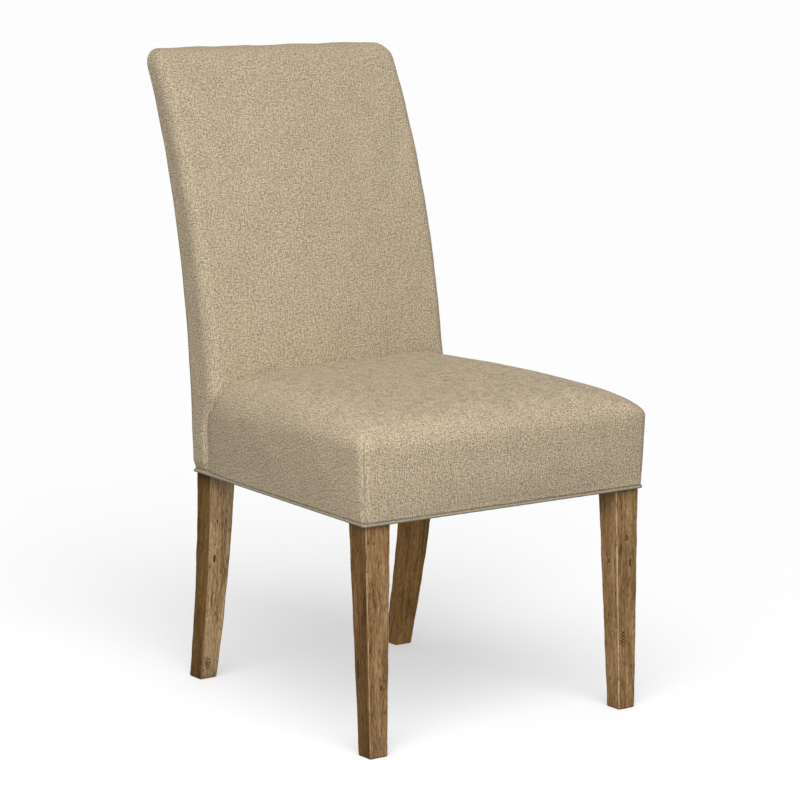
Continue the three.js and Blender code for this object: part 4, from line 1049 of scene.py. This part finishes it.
# The outside back: a flat panel of the same cloth, its edges turned in and sewn blind to the
# inside back all round, and stapled under the rear rail.
PANEL_TOP = 955.4
PANEL_RADIUS = 24.5
panel_z = np.linspace(COVER_BOTTOM, PANEL_TOP, 150)
panel_u = np.sin(np.linspace(-np.pi / 2, np.pi / 2, 111))
above_shoulder = np.maximum(panel_z - (BACK_TOP - BACK_RADIUS), 0)
panel_half = back_width(panel_z) - 1.0 - PANEL_RADIUS
panel_half = panel_half + np.sqrt(np.maximum(PANEL_RADIUS ** 2 - above_shoulder ** 2, 1))
panel_x = panel_half[:, None] * panel_u
panel_height = np.broadcast_to(panel_z[:, None], panel_x.shape)
to_edge = np.minimum(panel_half[:, None] - abs(panel_x), PANEL_TOP + 1.1 - panel_height)
to_edge = np.minimum(to_edge, (panel_height - COVER_BOTTOM) * 3 + 6)
puff = 1.0 * smooth(to_edge / 60) - 1.5 * np.exp(-to_edge / 2.0)
panel_y = rear_face(panel_height) + 0.3 + puff
panel_grid = np.stack([panel_x, panel_y, panel_height], axis=-1)
panel_grid[..., 1] += 0.5 * waves(41, (panel_x, 130), (panel_height, 150)) * smooth(to_edge / 40)
panel_grid = panel_grid[:, ::-1]
panel_map = np.stack([panel_grid[..., 0], -length_from(panel_grid, 0, [0, 1, 2])], axis=-1)
# Painted shade darkens the cloth along the sewn edge.
panel_seam_shade = np.exp(-((to_edge / 1.5) ** 2))[:, ::-1]
panel = grid_mesh("outside_back_cloth", panel_grid, panel_map, attributes={"seam_shade": panel_seam_shade})
panel.data.materials.append(cover_cloth)
walled(panel, 0.0012)
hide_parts("outside_back_panel")
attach(panel, "root")

# The welt: a cotton cord wrapped in bias-cut cloth, sewn to a tape that is stapled under the
# rails, so that only the cord shows, standing a little proud all round the cover's lower edge.
WELT_RADIUS = 2.3
WELT_HEIGHT = 331.5
WELT_FRONT, WELT_REAR = -5.0, 490.6
WELT_CORNERS = [(-1, True, 1.0), (1, True, 1.5), (1, False, 0.0), (-1, False, 0.5)]


def edge_side(depth):
    """Half the width of the cover's lower edge, which is drawn in most at the front."""
    return seat_side(depth) - DRAWN_SIDE * (1 - seat_run(depth)) + 0.4


def welt_path(inset):
    """The plan of the welt: straight runs between four rounded corners, as one closed line."""
    corners = []
    for side, at_front, half_turns in WELT_CORNERS:
        radius = 6.5 - inset if at_front else 6.0 - inset
        depth = WELT_FRONT + inset + radius if at_front else WELT_REAR - inset - radius
        half = edge_side(depth) - inset - radius
        turn = half_turns * np.pi + np.linspace(0, np.pi / 2, 13)
        x = side * half + radius * np.cos(turn)
        corners.append(np.stack([x, depth + radius * np.sin(turn)], axis=-1))
    runs = []
    for k, corner in enumerate(corners):
        after = corners[(k + 1) % 4][0]
        share = np.linspace(0, 1, 100)[1:-1, None]
        runs += [corner, lerp(corner[-1], after, share)]
    return np.vstack(runs)


welt_line = welt_path(WELT_RADIUS)
welt_step = np.roll(welt_line, -1, axis=0) - np.roll(welt_line, 1, axis=0)
welt_step /= np.linalg.norm(welt_step, axis=1, keepdims=True)
welt_out = np.stack([welt_step[:, 1], -welt_step[:, 0]], axis=-1)
welt_turn = np.linspace(0, 2 * np.pi, 15)[:-1]
welt_run = np.concatenate([[0], np.cumsum(np.linalg.norm(np.diff(welt_line, axis=0), axis=1))])
welt_round = WELT_RADIUS * (1 + 0.05 * waves(51, (welt_run, 26)))
welt_grid = np.stack([
    welt_line[:, None, 0] + welt_out[:, None, 0] * welt_round[:, None] * np.cos(welt_turn),
    welt_line[:, None, 1] + welt_out[:, None, 1] * welt_round[:, None] * np.cos(welt_turn),
    WELT_HEIGHT + welt_round[:, None] * np.sin(welt_turn),
], axis=-1)
welt_grid = np.concatenate([welt_grid, welt_grid[:1]])
welt_run = np.append(welt_run, welt_run[-1] + 3)
welt_map = np.stack([
    (welt_run[:, None] + WELT_RADIUS * welt_turn) / 1.414,
    (welt_run[:, None] - WELT_RADIUS * welt_turn) / 1.414,
], axis=-1)
welt_cloth = cloth_material(
    "welt_cloth", (0.210, 0.180, 0.135), (0.385, 0.330, 0.245), (0.53, 0.465, 0.36),
    pitch=1.3, contrast=0.6, bump=0.0003,
)
welt = grid_mesh("edge_welt", welt_grid[:, ::-1], welt_map[:, ::-1], wrap=True)
welt.data.materials.append(welt_cloth)
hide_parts("bottom_welt")
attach(welt, "root")

TAPE_WIDTH = 11.5
TAPE_TOP = 333.0
tape_outer = welt_path(WELT_RADIUS + 0.6)
from_middle = tape_outer - np.array([0.0, 240.0])
tape_inner = tape_outer - TAPE_WIDTH * np.sign(from_middle) * (abs(from_middle) > 12)
tape_ring = np.stack([tape_inner, tape_outer])
tape_grid = np.concatenate([tape_ring, np.full((*tape_ring.shape[:2], 1), TAPE_TOP)], axis=-1)
tape_grid = np.concatenate([tape_grid, tape_grid[:, :1]], axis=1)
tape = grid_mesh("welt_tape", tape_grid, tape_grid[..., :2].copy())
tape.data.materials.append(welt_cloth)
walled(tape, 0.0007)
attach(tape, "root")

# The dust cover: thin black cloth stapled under the rails, notched round the four legs. It hangs
# through by a little in the middle.
DUST_MARGIN = 14.6
DUST_REAR = 475.2
NOTCH_FRONT, NOTCH_REAR = 41.6, 449.6
DUST_INNER_FRONT, DUST_INNER_REAR = 201.6, 166.8


def notched(piece, away):
    """Cuts out the faces that a mask marks, in the order of the piece's grid."""
    shape = bmesh.new()
    shape.from_mesh(piece.data)
    faces = [face for face, gone in zip(shape.faces, away.ravel()) if gone]
    bmesh.ops.delete(shape, geom=faces, context="FACES")
    shape.to_mesh(piece.data)
    shape.free()


dust_depths = np.unique(np.concatenate([
    np.linspace(DUST_MARGIN, NOTCH_FRONT, 4), np.linspace(NOTCH_FRONT, NOTCH_REAR, 60),
    np.linspace(NOTCH_REAR, DUST_REAR, 4),
]))
inner_x = np.linspace(0, DUST_INNER_REAR, 26)
middle_x = np.linspace(DUST_INNER_REAR, DUST_INNER_FRONT, 6)[1:]
dust_rows = []
for depth, edge in zip(dust_depths, edge_side(dust_depths) - DUST_MARGIN):
    half = np.concatenate([inner_x, middle_x, np.linspace(DUST_INNER_FRONT, edge, 5)[1:]])
    x = np.concatenate([-half[::-1], half[1:]])
    run = (depth - DUST_MARGIN) / (DUST_REAR - DUST_MARGIN)
    sag = 1.3 * np.clip(1 - (x / edge) ** 2, 0, 1) * np.sin(np.pi * run)
    ripple = 0.25 * waves(61, (x, 45), (depth + 0 * x, 60))
    dust_rows.append(np.column_stack([x, depth + 0 * x, 332.95 - sag + ripple - 0.3]))
dust_grid = np.array(dust_rows)[:, ::-1]
dust = grid_mesh("dust_cloth", dust_grid, dust_grid[..., :2].copy())
middle = (dust_grid[:-1, :-1] + dust_grid[1:, :-1] + dust_grid[:-1, 1:] + dust_grid[1:, 1:]) / 4
at_front_leg = (middle[..., 1] < NOTCH_FRONT) & (abs(middle[..., 0]) > DUST_INNER_FRONT)
at_rear_leg = (middle[..., 1] > NOTCH_REAR) & (abs(middle[..., 0]) > DUST_INNER_REAR)
notched(dust, at_front_leg | at_rear_leg)
dust.data.materials.append(
    padding_material("dust_cloth", (0.010, 0.010, 0.011), (0.032, 0.032, 0.034), 1.1, 0.0002)
)
walled(dust, 0.0005)
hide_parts("dust_cover")
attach(dust, "root")

# The frame inside: seat rails, corner blocks and back rails of planed beech, tenoned and glued.
# Steel screws hold the blocks and woven jute straps carry the foam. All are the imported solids.


def frame_material(name, dark, pale, axis):
    """Planed pale timber: noise stretched along one axis for fibres, and finer for flecks."""
    material, start = new_material(name)
    x, y, z = coordinates(start).parts()
    stretch = [0.5, 0.5, 0.5]
    stretch[axis] = 0.012
    fx, fy, fz = x * stretch[0], y * stretch[1], z * stretch[2]
    fibre = start.noise(start.vector(fx, fy, fz), 1, 4, 0.6)
    fleck = start.noise(start.vector(fx * 3, fy * 3, fz * 8), 1, 2)
    tone = (fibre * 0.8 + fleck * 0.3 - 0.05).clamped()
    colour = start.mix(tone, dark, pale)
    start.finish(colour, fibre * 0.2 + 0.5, fibre, 0.0003, Specular_IOR_Level=0.3)
    return material


def called(*starts):
    """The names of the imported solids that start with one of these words."""
    return [name for name in timber if name.startswith(starts)]


def dress(names, material):
    """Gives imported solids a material."""
    for name in names:
        timber[name].data.materials.clear()
        timber[name].data.materials.append(material)


BEECH_DARK, BEECH_PALE = (0.42, 0.27, 0.14), (0.66, 0.47, 0.28)
along_x = ["front_rail", "rear_rail", "lower_back_rail", "middle_back_rail", "crest_rail"]
dress(along_x, frame_material("beech_x", BEECH_DARK, BEECH_PALE, 0))
dress(called("side_rail", "corner_block"), frame_material("beech_y", BEECH_DARK, BEECH_PALE, 1))


def strap_material(name, axis):
    """Woven webbing: its ribs are the product of two sines, over noise for wear."""
    material, start = new_material(name)
    x, y, z = coordinates(start).parts()
    along, across = (y, x) if axis == 1 else (x, y + z)
    ribs = (across * 3.1).math("SINE") * (along * 1.9).math("SINE")
    worn = start.noise(coordinates(start), 0.3, 3)
    tone = (ribs * 0.3 + worn * 0.7 + 0.1).clamped()
    colour = start.mix(tone, (0.16, 0.13, 0.075), (0.38, 0.32, 0.20))
    start.finish(colour, worn * 0.1 + 0.85, ribs * 0.5 + worn * 0.3, 0.0004, Specular_IOR_Level=0.1)
    return material


dress(called("seat_strap_long"), strap_material("webbing_long", 1))
dress(called("seat_strap_cross", "back_strap"), strap_material("webbing_cross", 0))
tack_board = padding_material("tack_board", (0.30, 0.24, 0.15), (0.48, 0.40, 0.28), 0.8, 0.0002)
dress(["back_tack_strip"], tack_board)
steel, start = new_material("screw_steel")
brushed = start.noise(coordinates(start), 2.4, 3)
steel_tone = start.mix(brushed, (0.42, 0.42, 0.41), (0.62, 0.62, 0.60))
start.finish(steel_tone, brushed * 0.2 + 0.25, brushed, 0.00005, Metallic=1.0)
dress(called("block_screw"), steel)
